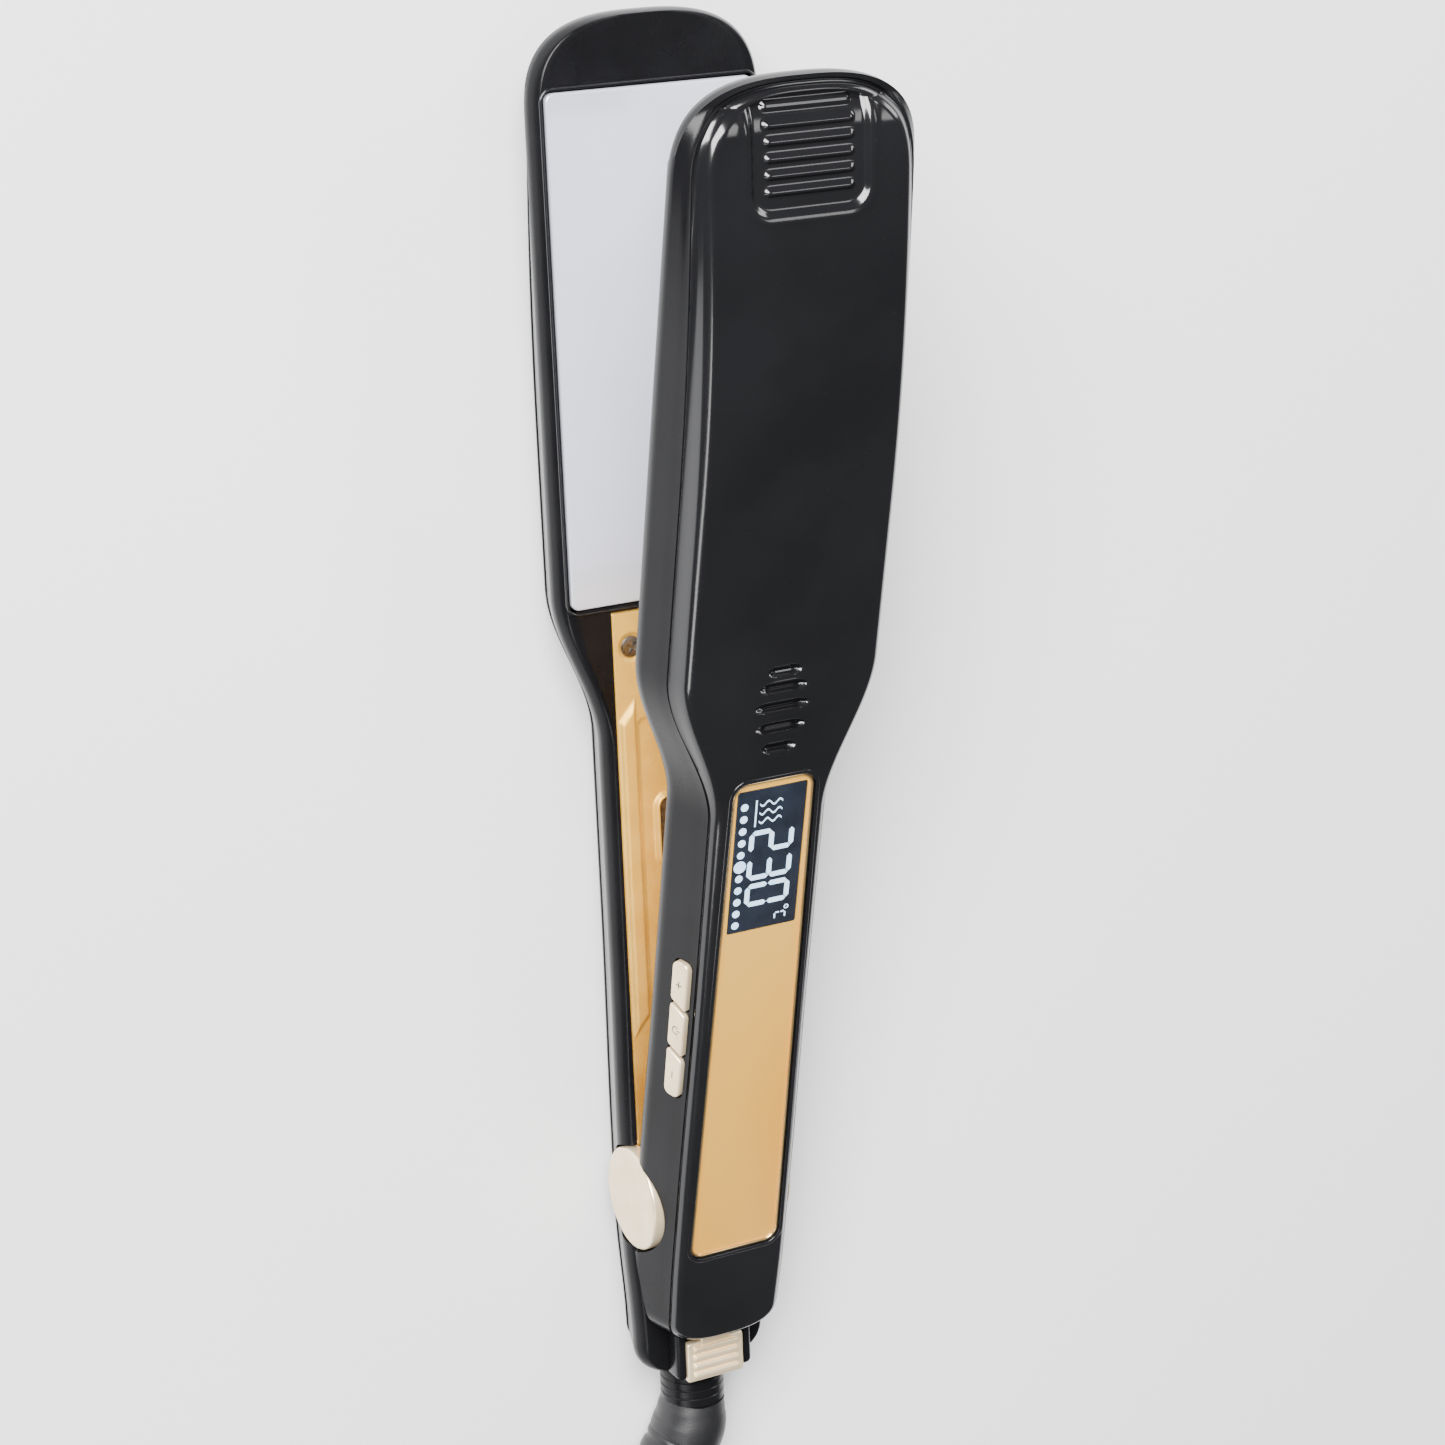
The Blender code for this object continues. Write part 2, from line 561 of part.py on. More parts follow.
def make_panel(frame):
    base = PANEL_FLOOR + GAP
    sheet = bm_prism(rounded(panel_corners(0.0), 2.7), base, base + 0.6)
    inlay = as_object("panel_inlay", sheet, frame, "panel_gold")
    boolean(inlay, bm_prism(rectangle(SCREEN_HALF + GAP, SCREEN_START - GAP, SCREEN_END + GAP), 15, 19))
    screen = bm_prism(rectangle(SCREEN_HALF, SCREEN_START, SCREEN_END), base, base + 0.6)
    as_object("display_screen", screen, frame, "screen")
    cover = bm_prism(rounded(panel_corners(0.0), 2.7), base + 0.6 + GAP, ARM_DEPTH + 0.2)
    as_object("panel_cover", cover, frame, "clear")
    low, high = (-6.2, SCREEN_START + 2.4, PANEL_FLOOR - 4.3), (6.2, SCREEN_END - 2.4, base - GAP)
    module = bm_box(low, high, 0.3)
    as_object("display_module", module, frame, "inner_black")


def make_boards(frame):
    board = bm_box((-7.0, 22, 8.2), (9.5, 112, 9.6))
    as_object("control_board", board, frame, "board")


def button_frame(parent):
    """x runs up the side wall, y along the arm and z out of the wall."""
    slope = float(side_inset(BUTTON_DEPTH + 0.5) - side_inset(BUTTON_DEPTH - 0.5))
    lean = math.atan(slope)
    wall_x = float(half_width(np.array(BUTTON_Y), UPPER_TAIL_Y) - side_inset(BUTTON_DEPTH))
    out = Vector((-math.cos(lean), 0, math.sin(lean)))
    up = Vector((math.sin(lean), 0, math.cos(lean)))
    matrix = Matrix((up, Vector((0, 1, 0)), out)).transposed().to_4x4()
    matrix.translation = Vector((-wall_x, BUTTON_Y, BUTTON_DEPTH)) * MM
    return frame_empty("button_wall", matrix, parent)


def button_outlines(grow):
    """One long pill cut by two slanted lines into plus, power and minus, each grown by grow."""
    w, end, cut = BUTTON_HALF_WIDTH + grow, BUTTON_HALF_LENGTH + grow, 5.6
    lean, gap = 1.0, 0.55 - grow
    top = [(-w, cut + gap + lean), (w, cut + gap - lean), (w, end), (-w, end)]
    middle = [(-w, -cut + gap + lean), (w, -cut + gap - lean),
              (w, cut - gap - lean), (-w, cut - gap + lean)]
    low = [(-w, -end), (w, -end), (w, -cut - gap - lean), (-w, -cut - gap + lean)]
    return {"button_plus": rounded(top, 0.9), "button_power": rounded(middle, 0.5),
            "button_minus": rounded(low, 0.9)}


def make_buttons(frame, housing):
    wall = button_frame(frame)
    for name, outline in button_outlines(0.0).items():
        centre = sum((Vector(p) for p in outline), Vector((0, 0))) / len(outline)
        solid = bm_prism(outline, -3.2, 0.7)
        top_edges = [e for e in solid.edges if all(abs(v.co.z - 0.7) < 1e-6 for v in e.verts)]
        bmesh.ops.bevel(solid, geom=top_edges, offset=0.35, segments=1, affect="EDGES")
        as_object(name, solid, wall, "champagne", (centre.x, centre.y, 0))
    holes = join_bm(*[bm_prism(outline, -8, 4) for outline in button_outlines(GAP).values()])
    boolean(housing, holes, frame=wall)
    as_object("button_board", bm_box((-2.0, -16, -7.4), (2.0, 16, -6.4)), wall, "board")
    for word, y in (("plus", 11.2), ("power", 0.0), ("minus", -11.2)):
        switch = bm_box((-1.6, y - 1.6, -6.1), (1.6, y + 1.6, -4.9), 0.15)
        piece = as_object(f"switch_{word}", switch, wall, "dark_steel")
        boolean(piece, bm_turned(((-5.2, 0.8), (-4.2, 0.8)), (0, y, 0), (0, 0, 1), 12), "UNION")


# ---- Hinge

def ear_outline(radius, base_h):
    """A plate with a round end about the axis and a square foot at base_h."""
    arc = [(radius * math.cos(a), -radius * math.sin(a)) for a in np.linspace(0, math.pi, 13)]
    return [(radius, base_h), *arc, (-radius, base_h)]


def make_bracket(name, frame, ears, radius, base_h):
    base = bm_box((-ears[1], -radius, base_h - 1.6), (ears[1], radius, base_h))
    bracket = as_object(name, base, frame, "dark_steel")
    outline = ear_outline(radius, base_h - 0.4)
    sides = [bm_prism(outline, *sorted((s * ears[0], s * ears[1])), "x") for s in (-1, 1)]
    boolean(bracket, join_bm(*sides), "UNION")
    bore = PIN_RADIUS + 0.08
    boolean(bracket, bm_turned(((-20, bore), (20, bore)), (0, 0, 0), (1, 0, 0), 32))


def make_hinge(lower, upper):
    make_bracket("lower_hinge_bracket", lower, LOWER_EAR, 6.5, 12.0)
    make_bracket("upper_hinge_bracket", upper, UPPER_EAR, 6.0, 12.0)
    end = PIN_RADIUS - 0.3
    profile = ((-15.2, end), (-14.9, PIN_RADIUS), (14.9, PIN_RADIUS), (15.2, end))
    as_object("hinge_pin", bm_turned(profile, (0, 0, 0), (1, 0, 0), 32), lower, "spring_steel")
    for side, word in ((1, "left"), (-1, "right")):  # the turned-over frame swaps the sides
        profile = ((CAP_INNER, CAP_RADIUS - 0.6), (CAP_INNER + 0.6, CAP_RADIUS),
                   (CAP_OUTER - 0.7, CAP_RADIUS), (CAP_OUTER - 0.2, CAP_RADIUS - 0.3),
                   (CAP_OUTER, CAP_RADIUS - 0.9))
        turned = bm_turned(profile, (0, 0, 0), (side, 0, 0), 36)
        cap = as_object(f"hinge_cap_{word}", turned, lower, "champagne")
        bore = PIN_RADIUS + 0.1
        boolean(cap, bm_turned(((12, bore), (15.5, bore)), (0, 0, 0), (side, 0, 0), 32))
    make_spring(lower)


def make_spring(frame):
    """A torsion spring round the pin: close turns with a leg into each arm."""
    turns, coil, wire = 5, 4.3, 0.8
    angles = np.linspace(0, 2 * math.pi * turns, turns * 10 + 1)
    across = np.linspace(-6.6, 6.6, len(angles))
    points = [(x, coil * math.sin(a), coil * math.cos(a)) for x, a in zip(across, angles)]
    start, end = points[0], points[-1]
    first_leg = [(start[0], 12.0, 6.2), (start[0], 5.0, 4.9)]
    last_leg = [(end[0], 1.2, 4.4), (end[0], 5.0, 5.0), (end[0], 12.0, 6.4)]
    points = [*first_leg, *points[:-1], (end[0], 0.1, coil), *last_leg]
    make_tube("hinge_spring", frame, "spring_steel", points, wire, 1)


def make_tube(name, frame, finish, points, radius, resolution):
    curve = bpy.data.curves.new(name, "CURVE")
    curve.dimensions = "3D"
    curve.bevel_depth = radius * MM
    curve.bevel_resolution = resolution
    curve.use_fill_caps = True
    spline = curve.splines.new("POLY")
    spline.points.add(len(points) - 1)
    for slot, point in zip(spline.points, points):
        slot.co = (*(Vector(point) * MM), 1.0)
    obj = bpy.data.objects.new(name, curve)
    bpy.context.scene.collection.objects.link(obj)
    obj.parent = frame
    curve.materials.append(material(name, finish))
    return obj


def make_collar(frame):
    """A barrel that turns in the tail wall, with a flange inside to hold it."""
    start = -43.6
    inside, wall, outside = 0.9, 3.8, start - NECK_END
    profile = ((0, 5.6), (0.3, 6.1), (inside, 6.1), (inside + 0.01, 5.3), (wall, 5.3),
               (wall + 0.01, NECK_RADIUS - 0.4), (wall + 0.4, NECK_RADIUS),
               (outside - 0.3, NECK_RADIUS), (outside, NECK_RADIUS - 0.3))
    barrel = bm_turned(profile, (0, start, NECK_DEPTH), (0, -1, 0), 28)
    as_object("swivel_collar", barrel, frame, "satin_black", (0, start, NECK_DEPTH))


# ---- Lock

def make_slider(frame):
    """Ribbed head in the block's recess, a nose that passes the catch and a foot that holds it down."""
    middle = (SLIDER_OUT + SLIDER_IN) / 2
    head = bm_box((-SLIDER_HALF, SLIDER_OUT, SLIDER_TOP + 0.7), (SLIDER_HALF, SLIDER_IN, -2.5), 0.5)
    slider = as_object("lock_slider", head, frame, "champagne", (0, middle, SLIDER_TOP))
    pieces = [bm_box((-3.5, SLIDER_IN - 3, -4.7), (3.5, CATCH_Y - 2.3, -2.6)),
              bm_box((-1.5, -43.0, -3.4), (1.5, -39.0, 3.6)),
              bm_box((-3.6, -43.4, 3.2), (3.6, -38.6, 4.6))]
    pieces += [bm_box((-5.4, y - 0.55, SLIDER_TOP), (5.4, y + 0.55, -3.6))
               for y in (-44.0, -41.9, -39.8, -37.7)]
    for piece in pieces:
        boolean(slider, piece, "UNION")


def make_catch(frame):
    """A loop that hangs from the upper tail: shut, its bar stops on the slider's nose."""
    loop = bm_box((-CATCH_HALF, CATCH_Y - 0.75, 5.7), (CATCH_HALF, CATCH_Y + 0.75, SHELL_FLOOR - GAP))
    catch = as_object("lock_catch", loop, frame, "dark_steel")
    boolean(catch, bm_box((-CATCH_HALF + 1.4, CATCH_Y - 3, 7.1), (CATCH_HALF - 1.4, CATCH_Y + 3, 12.4)))


# ---- Inner wiring and mains board

def make_lower_electrics(frame):
    board = as_object("mains_board", bm_box((-11, 24, 7.2), (11, 70, 8.6)), frame, "board")
    boolean(board, bm_box((-6, 30, 8.0), (4, 44, 12.4), 0.6), "UNION")
    profile = ((0, 0.7), (6, 0.7), (6.01, 1.9), (15, 1.9), (15.01, 0.7), (21, 0.7))
    as_object("thermal_fuse", bm_turned(profile, (-15.5, 150, 11.4), (0, 1, 0), 14), frame, "ceramic")
    route = [(0, -38, NECK_DEPTH), (2, -28, 8.0), (2.5, -14, 8.3), (2.5, 4, 8.2), (4.5, 14, 9.3),
             (8.6, 25, 10.9), (9, 50, 11.4), (7, 80, 11.4), (3.5, 110, 10.9), (2.5, 130, 10.9)]
    make_tube("lower_leads", frame, "silicone", smooth_route(route, 26), 0.9, 1)


def make_upper_leads(frame):
    route = [(5.6, 14, 11.6), (8.4, 26, 11.8), (9, 60, 11.6), (8.9, 88, 11.6), (8.3, 104, 11.4),
             (5.0, 118, 11.3), (4.2, 126, 11.0), (3.8, 132, 10.9)]
    make_tube("upper_leads", frame, "silicone", smooth_route(route, 20), 0.9, 1)


# ---- Cord, in the iron's own frame with z up

def smooth_route(route, count):
    """Points read at even steps from a Catmull-Rom curve through the route."""
    route = np.array(route, float)
    padded = np.vstack([2 * route[0] - route[1], route, 2 * route[-1] - route[-2]])
    fine = []
    for k in range(len(route) - 1):
        a, b, c, d = padded[k:k + 4]
        t = np.linspace(0, 1, 24, endpoint=False)[:, None]
        bend = (2 * a - 5 * b + 4 * c - d) * t ** 2 + (3 * b - a - 3 * c + d) * t ** 3
        fine.append(0.5 * (2 * b + (c - a) * t + bend))
    fine = np.vstack([*fine, route[-1:]])
    length = np.concatenate([[0], np.cumsum(np.linalg.norm(np.diff(fine, axis=0), axis=1))])
    even = np.linspace(0, length[-1], count)
    columns = [np.interp(even, length, fine[:, axis]) for axis in range(3)]
    return [tuple(row) for row in np.column_stack(columns)]


def pinch(y):
    """How far the runs are pulled in at distance y from the hank's middle."""
    return WAIST * np.cos(np.pi * np.clip(y / RUN_LENGTH, -0.5, 0.5)) ** 2


def hank_outline(radius):
    """A long loop with round ends and a waist, as (x, y) about the hank's middle."""
    runs = np.linspace(-RUN_LENGTH / 2, RUN_LENGTH / 2, 13)
    right = [(radius - pinch(y), y) for y in runs]
    fold = [(radius * math.cos(a), RUN_LENGTH / 2 + radius * math.sin(a))
            for a in np.linspace(0, math.pi, 13)[1:-1]]
    half = right + fold
    return half + [(-x, -y) for x, y in half]


BOOT = ((0, -56.1, 9.6, 7.2), (-0.4, -58.4, 9.6, 7.7), (-1.2, -62.5, 9.6, 8.4),
        (-3.6, -67.5, 9.3, 8.3), (-8.0, -72.6, 8.7, 7.4), (-12.8, -77.4, 7.9, 6.3),
        (-17.4, -82.6, 7.0, 5.4), (-21.0, -89.4, 6.2, 4.6))
LEAD = ((-21.15, -89.7, 6.16), (-24.1, -95.4, 5.5), (-26.0, -103.0, 4.4), (-26.9, -111.5, 3.6),
        (-27.1, -119.0, 3.4), (-27.1, -125.8, 3.4))
PLUG_LEAD = ((-27.1, -292.0, 16.65), (-27.1, -300.5, 16.65), (-27.1, -309.0, 16.75),
             (-24.4, -319.0, 17.1), (-17.2, -326.2, 17.7), (-7.2, -328.9, 18.5), (2.8, -326.2, 19.3),
             (10.0, -319.0, 19.95), (12.65, -312.6, 20.24), (12.7, -309.5, 20.25))
PLUG_AT = (12.7, -288.0, 20.25)  # it lies on the hank


def make_cord():
    """The cord and what is on it, in the iron's frame: y from the hinge axis, z up from the table."""
    table = frame_empty("table_frame", Matrix.Translation((0, HINGE_Y * MM, 0)))
    make_boot(table)
    outer = FOLD_RADIUS + TURN_STEP + CORD_RADIUS
    height = 4 * CORD_RADIUS + 0.1
    outline = [(x, y + HANK_Y) for x, y in hank_outline(outer)]
    hank = as_object("cord_hank", bm_prism(outline, 0.0, height), table, "cord_rubber")
    reach = TIE_HALF + 0.6
    boolean(hank, bm_box((-40, HANK_Y - reach, -1), (40, HANK_Y + reach, TIE_THICK + GAP)))
    make_tie(table, outer - WAIST, height)
    make_tube("cord_lead", table, "cord_rubber", smooth_route(LEAD, 18), CORD_RADIUS, 2)
    make_tube("plug_lead", table, "cord_rubber", smooth_route(PLUG_LEAD, 26), CORD_RADIUS, 2)
    make_plug(table)


def make_boot(frame):
    """The tapered strain relief: rings square to a bent line, which falls from the neck to the table."""
    points, sides, rows = [], 20, len(BOOT)
    for k, (x, y, z, radius) in enumerate(BOOT):
        before, after = BOOT[max(k - 1, 0)], BOOT[min(k + 1, rows - 1)]
        ahead = (Vector(after[:3]) - Vector(before[:3])).normalized() if k else Vector((0, -1, 0))
        across = ahead.cross(Vector((0, 0, 1))).normalized()
        up = across.cross(ahead)
        for side in range(sides):
            angle = 2 * math.pi * side / sides
            spoke = across * math.cos(angle) + up * math.sin(angle)
            points.append(Vector((x, y, z)) + spoke * radius)
    faces = [list(range(sides)), list(range(sides * (rows - 1), sides * rows))]
    for row in range(rows - 1):
        for k in range(sides):
            a, b = row * sides + k, row * sides + (k + 1) % sides
            faces.append((a, b, b + sides, a + sides))
    as_object("strain_relief", bm_of(points, faces), frame, "cord_rubber")


def make_tie(frame, waist, height):
    """A flat strap right round the hank's waist."""
    inner = waist + 0.9
    outer = inner + TIE_THICK
    top = height + 2 * TIE_THICK + GAP
    band = bm_box((-outer, HANK_Y - TIE_HALF, 0), (outer, HANK_Y + TIE_HALF, top))
    tie = as_object("cord_tie", band, frame, "tie_fabric")
    boolean(tie, bm_box((-inner, HANK_Y - 20, TIE_THICK), (inner, HANK_Y + 20, height + TIE_THICK + GAP)))


def make_plug(frame):
    """A flat two-pin plug lying on the hank, its pins towards the iron."""
    x, y, z = PLUG_AT
    half, corner = PLUG_HEIGHT / 2, 3.0
    right = [(8, 0), (PLUG_HALF, 15), (PLUG_HALF, 30), (14.6, PLUG_LENGTH)]
    outline = right + [(-a, b) for a, b in right[::-1]]
    body = bm_prism(rounded([(x + a, y + b) for a, b in outline], 3.0, 2), z - half, z + half)
    flat = [e for e in body.edges if abs(e.verts[0].co.z - e.verts[1].co.z) < 1e-6]
    bmesh.ops.bevel(body, geom=flat, offset=corner, segments=2, profile=0.5, affect="EDGES")
    plug = as_object("plug_body", body, frame, "cord_rubber")
    boolean(plug, bm_turned(((-21.0, 3.9), (4, 5.6)), PLUG_AT, (0, 1, 0), 20), "UNION")
    for side, word in ((-1, "left"), (1, "right")):
        profile = ((0, PIN_METAL_RADIUS), (17.6, PIN_METAL_RADIUS), (19.0, PIN_METAL_RADIUS - 1.0))
        start = (x + side * PIN_SPACING / 2, y + PLUG_LENGTH + GAP, z)
        as_object(f"plug_pin_{word}", bm_turned(profile, start, (0, 1, 0), 20), frame, "pin_metal")


def main():
    clear_scene()
    axis = Matrix.Translation(Vector((0, HINGE_Y, ARM_DEPTH)) * MM)
    lower = frame_empty("lower_arm_frame", axis @ Matrix.Rotation(math.pi, 4, "Y"))
    upper = frame_empty("upper_arm_pivot", axis @ Matrix.Rotation(OPEN_ANGLE, 4, "X"))
    make_lower_shells(lower)
    housing = make_upper_shells(upper)
    for prefix, frame in (("lower", lower), ("upper", upper)):
        make_cover(prefix, frame, prefix == "lower")
        make_screws(prefix, frame)
        make_plate(prefix, frame)
        make_heater_clamp(prefix, frame)
        make_plate_holder(prefix, frame)
    make_socket_insert(lower)
    make_guide_tongue(upper)
    make_panel(upper)
    make_boards(upper)
    make_buttons(upper, housing)
    make_hinge(lower, upper)
    make_slider(lower)
    make_catch(upper)
    make_lower_electrics(lower)
    make_upper_leads(upper)
    make_collar(lower)
    make_cord()


main()
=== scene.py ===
import bmesh
import bpy
import json
import math
import numpy as np
from mathutils import Matrix, Vector

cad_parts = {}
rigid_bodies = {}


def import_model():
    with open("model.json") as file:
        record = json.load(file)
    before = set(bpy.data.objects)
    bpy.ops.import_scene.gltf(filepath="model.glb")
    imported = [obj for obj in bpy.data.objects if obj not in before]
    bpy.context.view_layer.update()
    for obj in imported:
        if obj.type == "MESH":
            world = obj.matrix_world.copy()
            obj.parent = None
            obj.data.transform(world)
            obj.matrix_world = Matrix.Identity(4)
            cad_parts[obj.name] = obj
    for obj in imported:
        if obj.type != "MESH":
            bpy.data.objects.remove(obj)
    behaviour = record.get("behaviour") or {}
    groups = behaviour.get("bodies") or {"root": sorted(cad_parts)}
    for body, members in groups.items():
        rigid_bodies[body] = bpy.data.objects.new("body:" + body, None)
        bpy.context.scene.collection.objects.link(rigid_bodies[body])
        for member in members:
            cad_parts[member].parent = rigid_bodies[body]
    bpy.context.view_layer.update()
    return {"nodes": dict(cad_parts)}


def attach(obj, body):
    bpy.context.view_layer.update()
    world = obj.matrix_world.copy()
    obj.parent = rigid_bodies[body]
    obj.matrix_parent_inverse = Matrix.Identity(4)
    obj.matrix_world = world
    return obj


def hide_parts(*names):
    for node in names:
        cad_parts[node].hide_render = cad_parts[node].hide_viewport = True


for leftover in list(bpy.data.objects):
    bpy.data.objects.remove(leftover)
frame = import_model()
nodes = frame["nodes"]
print("frame loaded")

# The arm's own measures in millimetres: x across, y from the hinge axis to the tip,
# h outwards from the plane in which the arms meet.
arm = {
    "hingeY": -99.1, "depth": 17.8, "openDegrees": 13.3, "tipY": 254.0,
    "lowerTail": -46.2, "upperTail": -33.0, "headHalf": 25.8, "handleHalf": 16.6,
    "shoulderStart": 102.5, "shoulderEnd": 136.0, "tipRound": 20.3, "tailRound": 9.0,
    "tipLean": 0.4, "tailLean": 0.7, "wall": 2.0, "tipWall": 12.0, "widestLow": 3.5, "widestHigh": 5.0,
    "leanIn": 1.6, "leanOut": 4.6, "seamHandle": 15.0, "seamHead": 12.4, "seamGap": 0.44,
    "deck": 0.6, "deckBack": 2.6, "floor": 15.0, "edgeDown": 1.9, "edgeIn": 1.4,
}


def lookCamera():
    camera = bpy.data.objects.new("camera", bpy.data.cameras.new("camera"))
    bpy.context.scene.collection.objects.link(camera)
    camera.data.lens, camera.data.sensor_width = 85.09, 36
    across = (0.88512634, -0.03864534, 0.46374336)
    upward = (0.16718651, 0.95641853, -0.2393998)
    backward = (-0.43428106, 0.2894307, 0.85301221)
    turned = Matrix((across, upward, backward)).transposed().to_4x4()
    turned.translation = (-0.3054, 0.2152, 0.6380)
    camera.matrix_world = turned
    bpy.context.scene.camera = camera


lookCamera()


class Graph:
    # a short way to add and wire nodes in one material
    def __init__(self, name):
        self.material = bpy.data.materials.new(name)
        self.material.use_nodes = True
        self.nodes, self.links = self.material.node_tree.nodes, self.material.node_tree.links
        self.shader = self.nodes["Principled BSDF"]
        self.place = self.nodes.new("ShaderNodeTexCoord").outputs["Object"]

    def add(self, kind, inputs=(), **settings):
        node = self.nodes.new(kind)
        for key, value in settings.items():
            setattr(node, key, value)
        for key, value in dict(inputs).items():
            if isinstance(value, bpy.types.NodeSocket):
                self.links.new(value, node.inputs[key])
            else:
                node.inputs[key].default_value = value
        return node

    def mapped(self, scale, turn=0.0):
        node = self.add("ShaderNodeMapping", {"Vector": self.place})
        node.inputs["Scale"].default_value = scale
        node.inputs["Rotation"].default_value[2] = turn
        return node.outputs["Vector"]

    def noise(self, scale, detail=3.0, vector=None, rough=0.5):
        node = self.add("ShaderNodeTexNoise", {"Vector": vector or self.place, "Scale": scale,
                                               "Detail": detail, "Roughness": rough})
        return node.outputs["Fac"]

    def ranged(self, value, low, high, toLow, toHigh):
        node = self.add("ShaderNodeMapRange", {"Value": value, "From Min": low, "From Max": high,
                                               "To Min": toLow, "To Max": toHigh})
        return node.outputs["Result"]

    def mixed(self, share, first, second):
        node = self.add("ShaderNodeMix", data_type="RGBA")
        for key, value in (("Factor", share), (6, first), (7, second)):
            if isinstance(value, bpy.types.NodeSocket):
                self.links.new(value, node.inputs[key])
            else:
                node.inputs[key].default_value = value if key == "Factor" else (*value, 1.0)
        return node.outputs[2]

    def bump(self, height, strength, distance, under=None):
        inputs = {"Height": height, "Strength": strength, "Distance": distance}
        if under:
            inputs["Normal"] = under
        return self.add("ShaderNodeBump", inputs).outputs["Normal"]

    def feed(self, key, value):
        if isinstance(value, bpy.types.NodeSocket):
            self.links.new(value, self.shader.inputs[key])
        else:
            self.shader.inputs[key].default_value = value


# Each finish: two colours that a slow noise mixes, roughness between two values in smudges,
# metal share, clear coat, and the size in metres and height of its grain. What it leaves out
# is as in plain.
plain = dict(metal=0.0, coat=0.0, dust=0.0, shine=0.5)
finishes = {
    "pianoBlack": dict(a=(0.0035, 0.0035, 0.0042), b=(0.006, 0.006, 0.007), rough=(0.13, 0.20),
                       coat=0.25, grain=(0.0022, 0.010), patch=0.03, dust=0.35),
    "satinBlack": dict(a=(0.0035, 0.0035, 0.0042), b=(0.006, 0.006, 0.007), rough=(0.20, 0.30),
                       grain=(0.00035, 0.05), patch=0.02, dust=0.2, shine=0.16),
    "innerBlack": dict(a=(0.015, 0.015, 0.015), b=(0.03, 0.03, 0.03), rough=(0.5, 0.7),
                       grain=(0.0006, 0.1), patch=0.01),
    "champagne": dict(a=(0.90, 0.70, 0.43), b=(0.96, 0.78, 0.52), rough=(0.27, 0.40),
                      metal=0.6, coat=0.25, grain=(0.00025, 0.06), patch=0.006, dust=0.2),
    "trimGold": dict(a=(0.95, 0.62, 0.22), b=(1.0, 0.72, 0.32), rough=(0.12, 0.24),
                     metal=0.95, coat=0.5, grain=(0.0006, 0.02), patch=0.01, dust=0.2),
    "darkSteel": dict(a=(0.13, 0.12, 0.11), b=(0.24, 0.22, 0.20), rough=(0.25, 0.45),
                      metal=0.95, grain=(0.0003, 0.12), patch=0.002, dust=0.1),
    "springSteel": dict(a=(0.45, 0.45, 0.46), b=(0.62, 0.62, 0.63), rough=(0.28, 0.42),
                        metal=1.0, grain=(0.0003, 0.08), patch=0.004),
    "ceramic": dict(a=(0.80, 0.78, 0.72), b=(0.88, 0.86, 0.82), rough=(0.55, 0.7),
                    grain=(0.0004, 0.15), patch=0.004),
    "silicone": dict(a=(0.50, 0.09, 0.07), b=(0.60, 0.12, 0.09), rough=(0.5, 0.65),
                     grain=(0.0005, 0.08), patch=0.004),
    "board": dict(a=(0.02, 0.13, 0.06), b=(0.03, 0.19, 0.09), rough=(0.35, 0.55),
                  coat=0.3, grain=(0.0008, 0.1), patch=0.003),
    "cordRubber": dict(a=(0.005, 0.005, 0.006), b=(0.010, 0.010, 0.011), rough=(0.38, 0.50),
                       grain=(0.0004, 0.10), patch=0.01, dust=0.3),
    "pinMetal": dict(a=(0.72, 0.68, 0.60), b=(0.82, 0.79, 0.72), rough=(0.16, 0.30),
                     metal=1.0, grain=(0.0003, 0.05), patch=0.003),
    "markDark": dict(a=(0.05, 0.035, 0.02), b=(0.09, 0.065, 0.04), rough=(0.4, 0.6),
                     metal=0.2, grain=(0.0003, 0.05), patch=0.002),
}


def makeFinish(name, look):
    look = {**plain, **look}
    g = Graph(name)
    slow = g.noise(1 / look["patch"], 3)
    smudge = g.noise(0.6 / look["patch"], 5, g.mapped((1.0, 0.45, 1.0), 0.4), 0.62)
    colour = g.mixed(g.ranged(slow, 0.35, 0.65, 0, 1), look["a"], look["b"])
    low, high = look["rough"]
    rough = g.ranged(smudge, 0.36, 0.64, low, high)
    if look["dust"]:  # fine specks, rougher and a little paler, as on an object in use
        speck = g.ranged(g.noise(1400, 2), 0.70, 0.80, 0, look["dust"])
        pale = tuple(min(1.0, c * 1.6 + 0.01) for c in look["b"])
        colour = g.mixed(speck, colour, pale)
        more = g.add("ShaderNodeMath", {0: speck, 1: 0.3}, operation="MULTIPLY").outputs[0]
        rough = g.add("ShaderNodeMath", {0: rough, 1: more}, operation="ADD").outputs[0]
    size, height = look["grain"]
    g.feed("Base Color", colour)
    g.feed("Roughness", rough)
    g.feed("Normal", g.bump(g.noise(1 / size, 2), height, 0.0004))
    g.feed("Metallic", look["metal"])
    g.feed("Coat Weight", look["coat"])
    g.feed("Coat Roughness", 0.12)
    g.feed("Specular IOR Level", look["shine"])
    return g.material


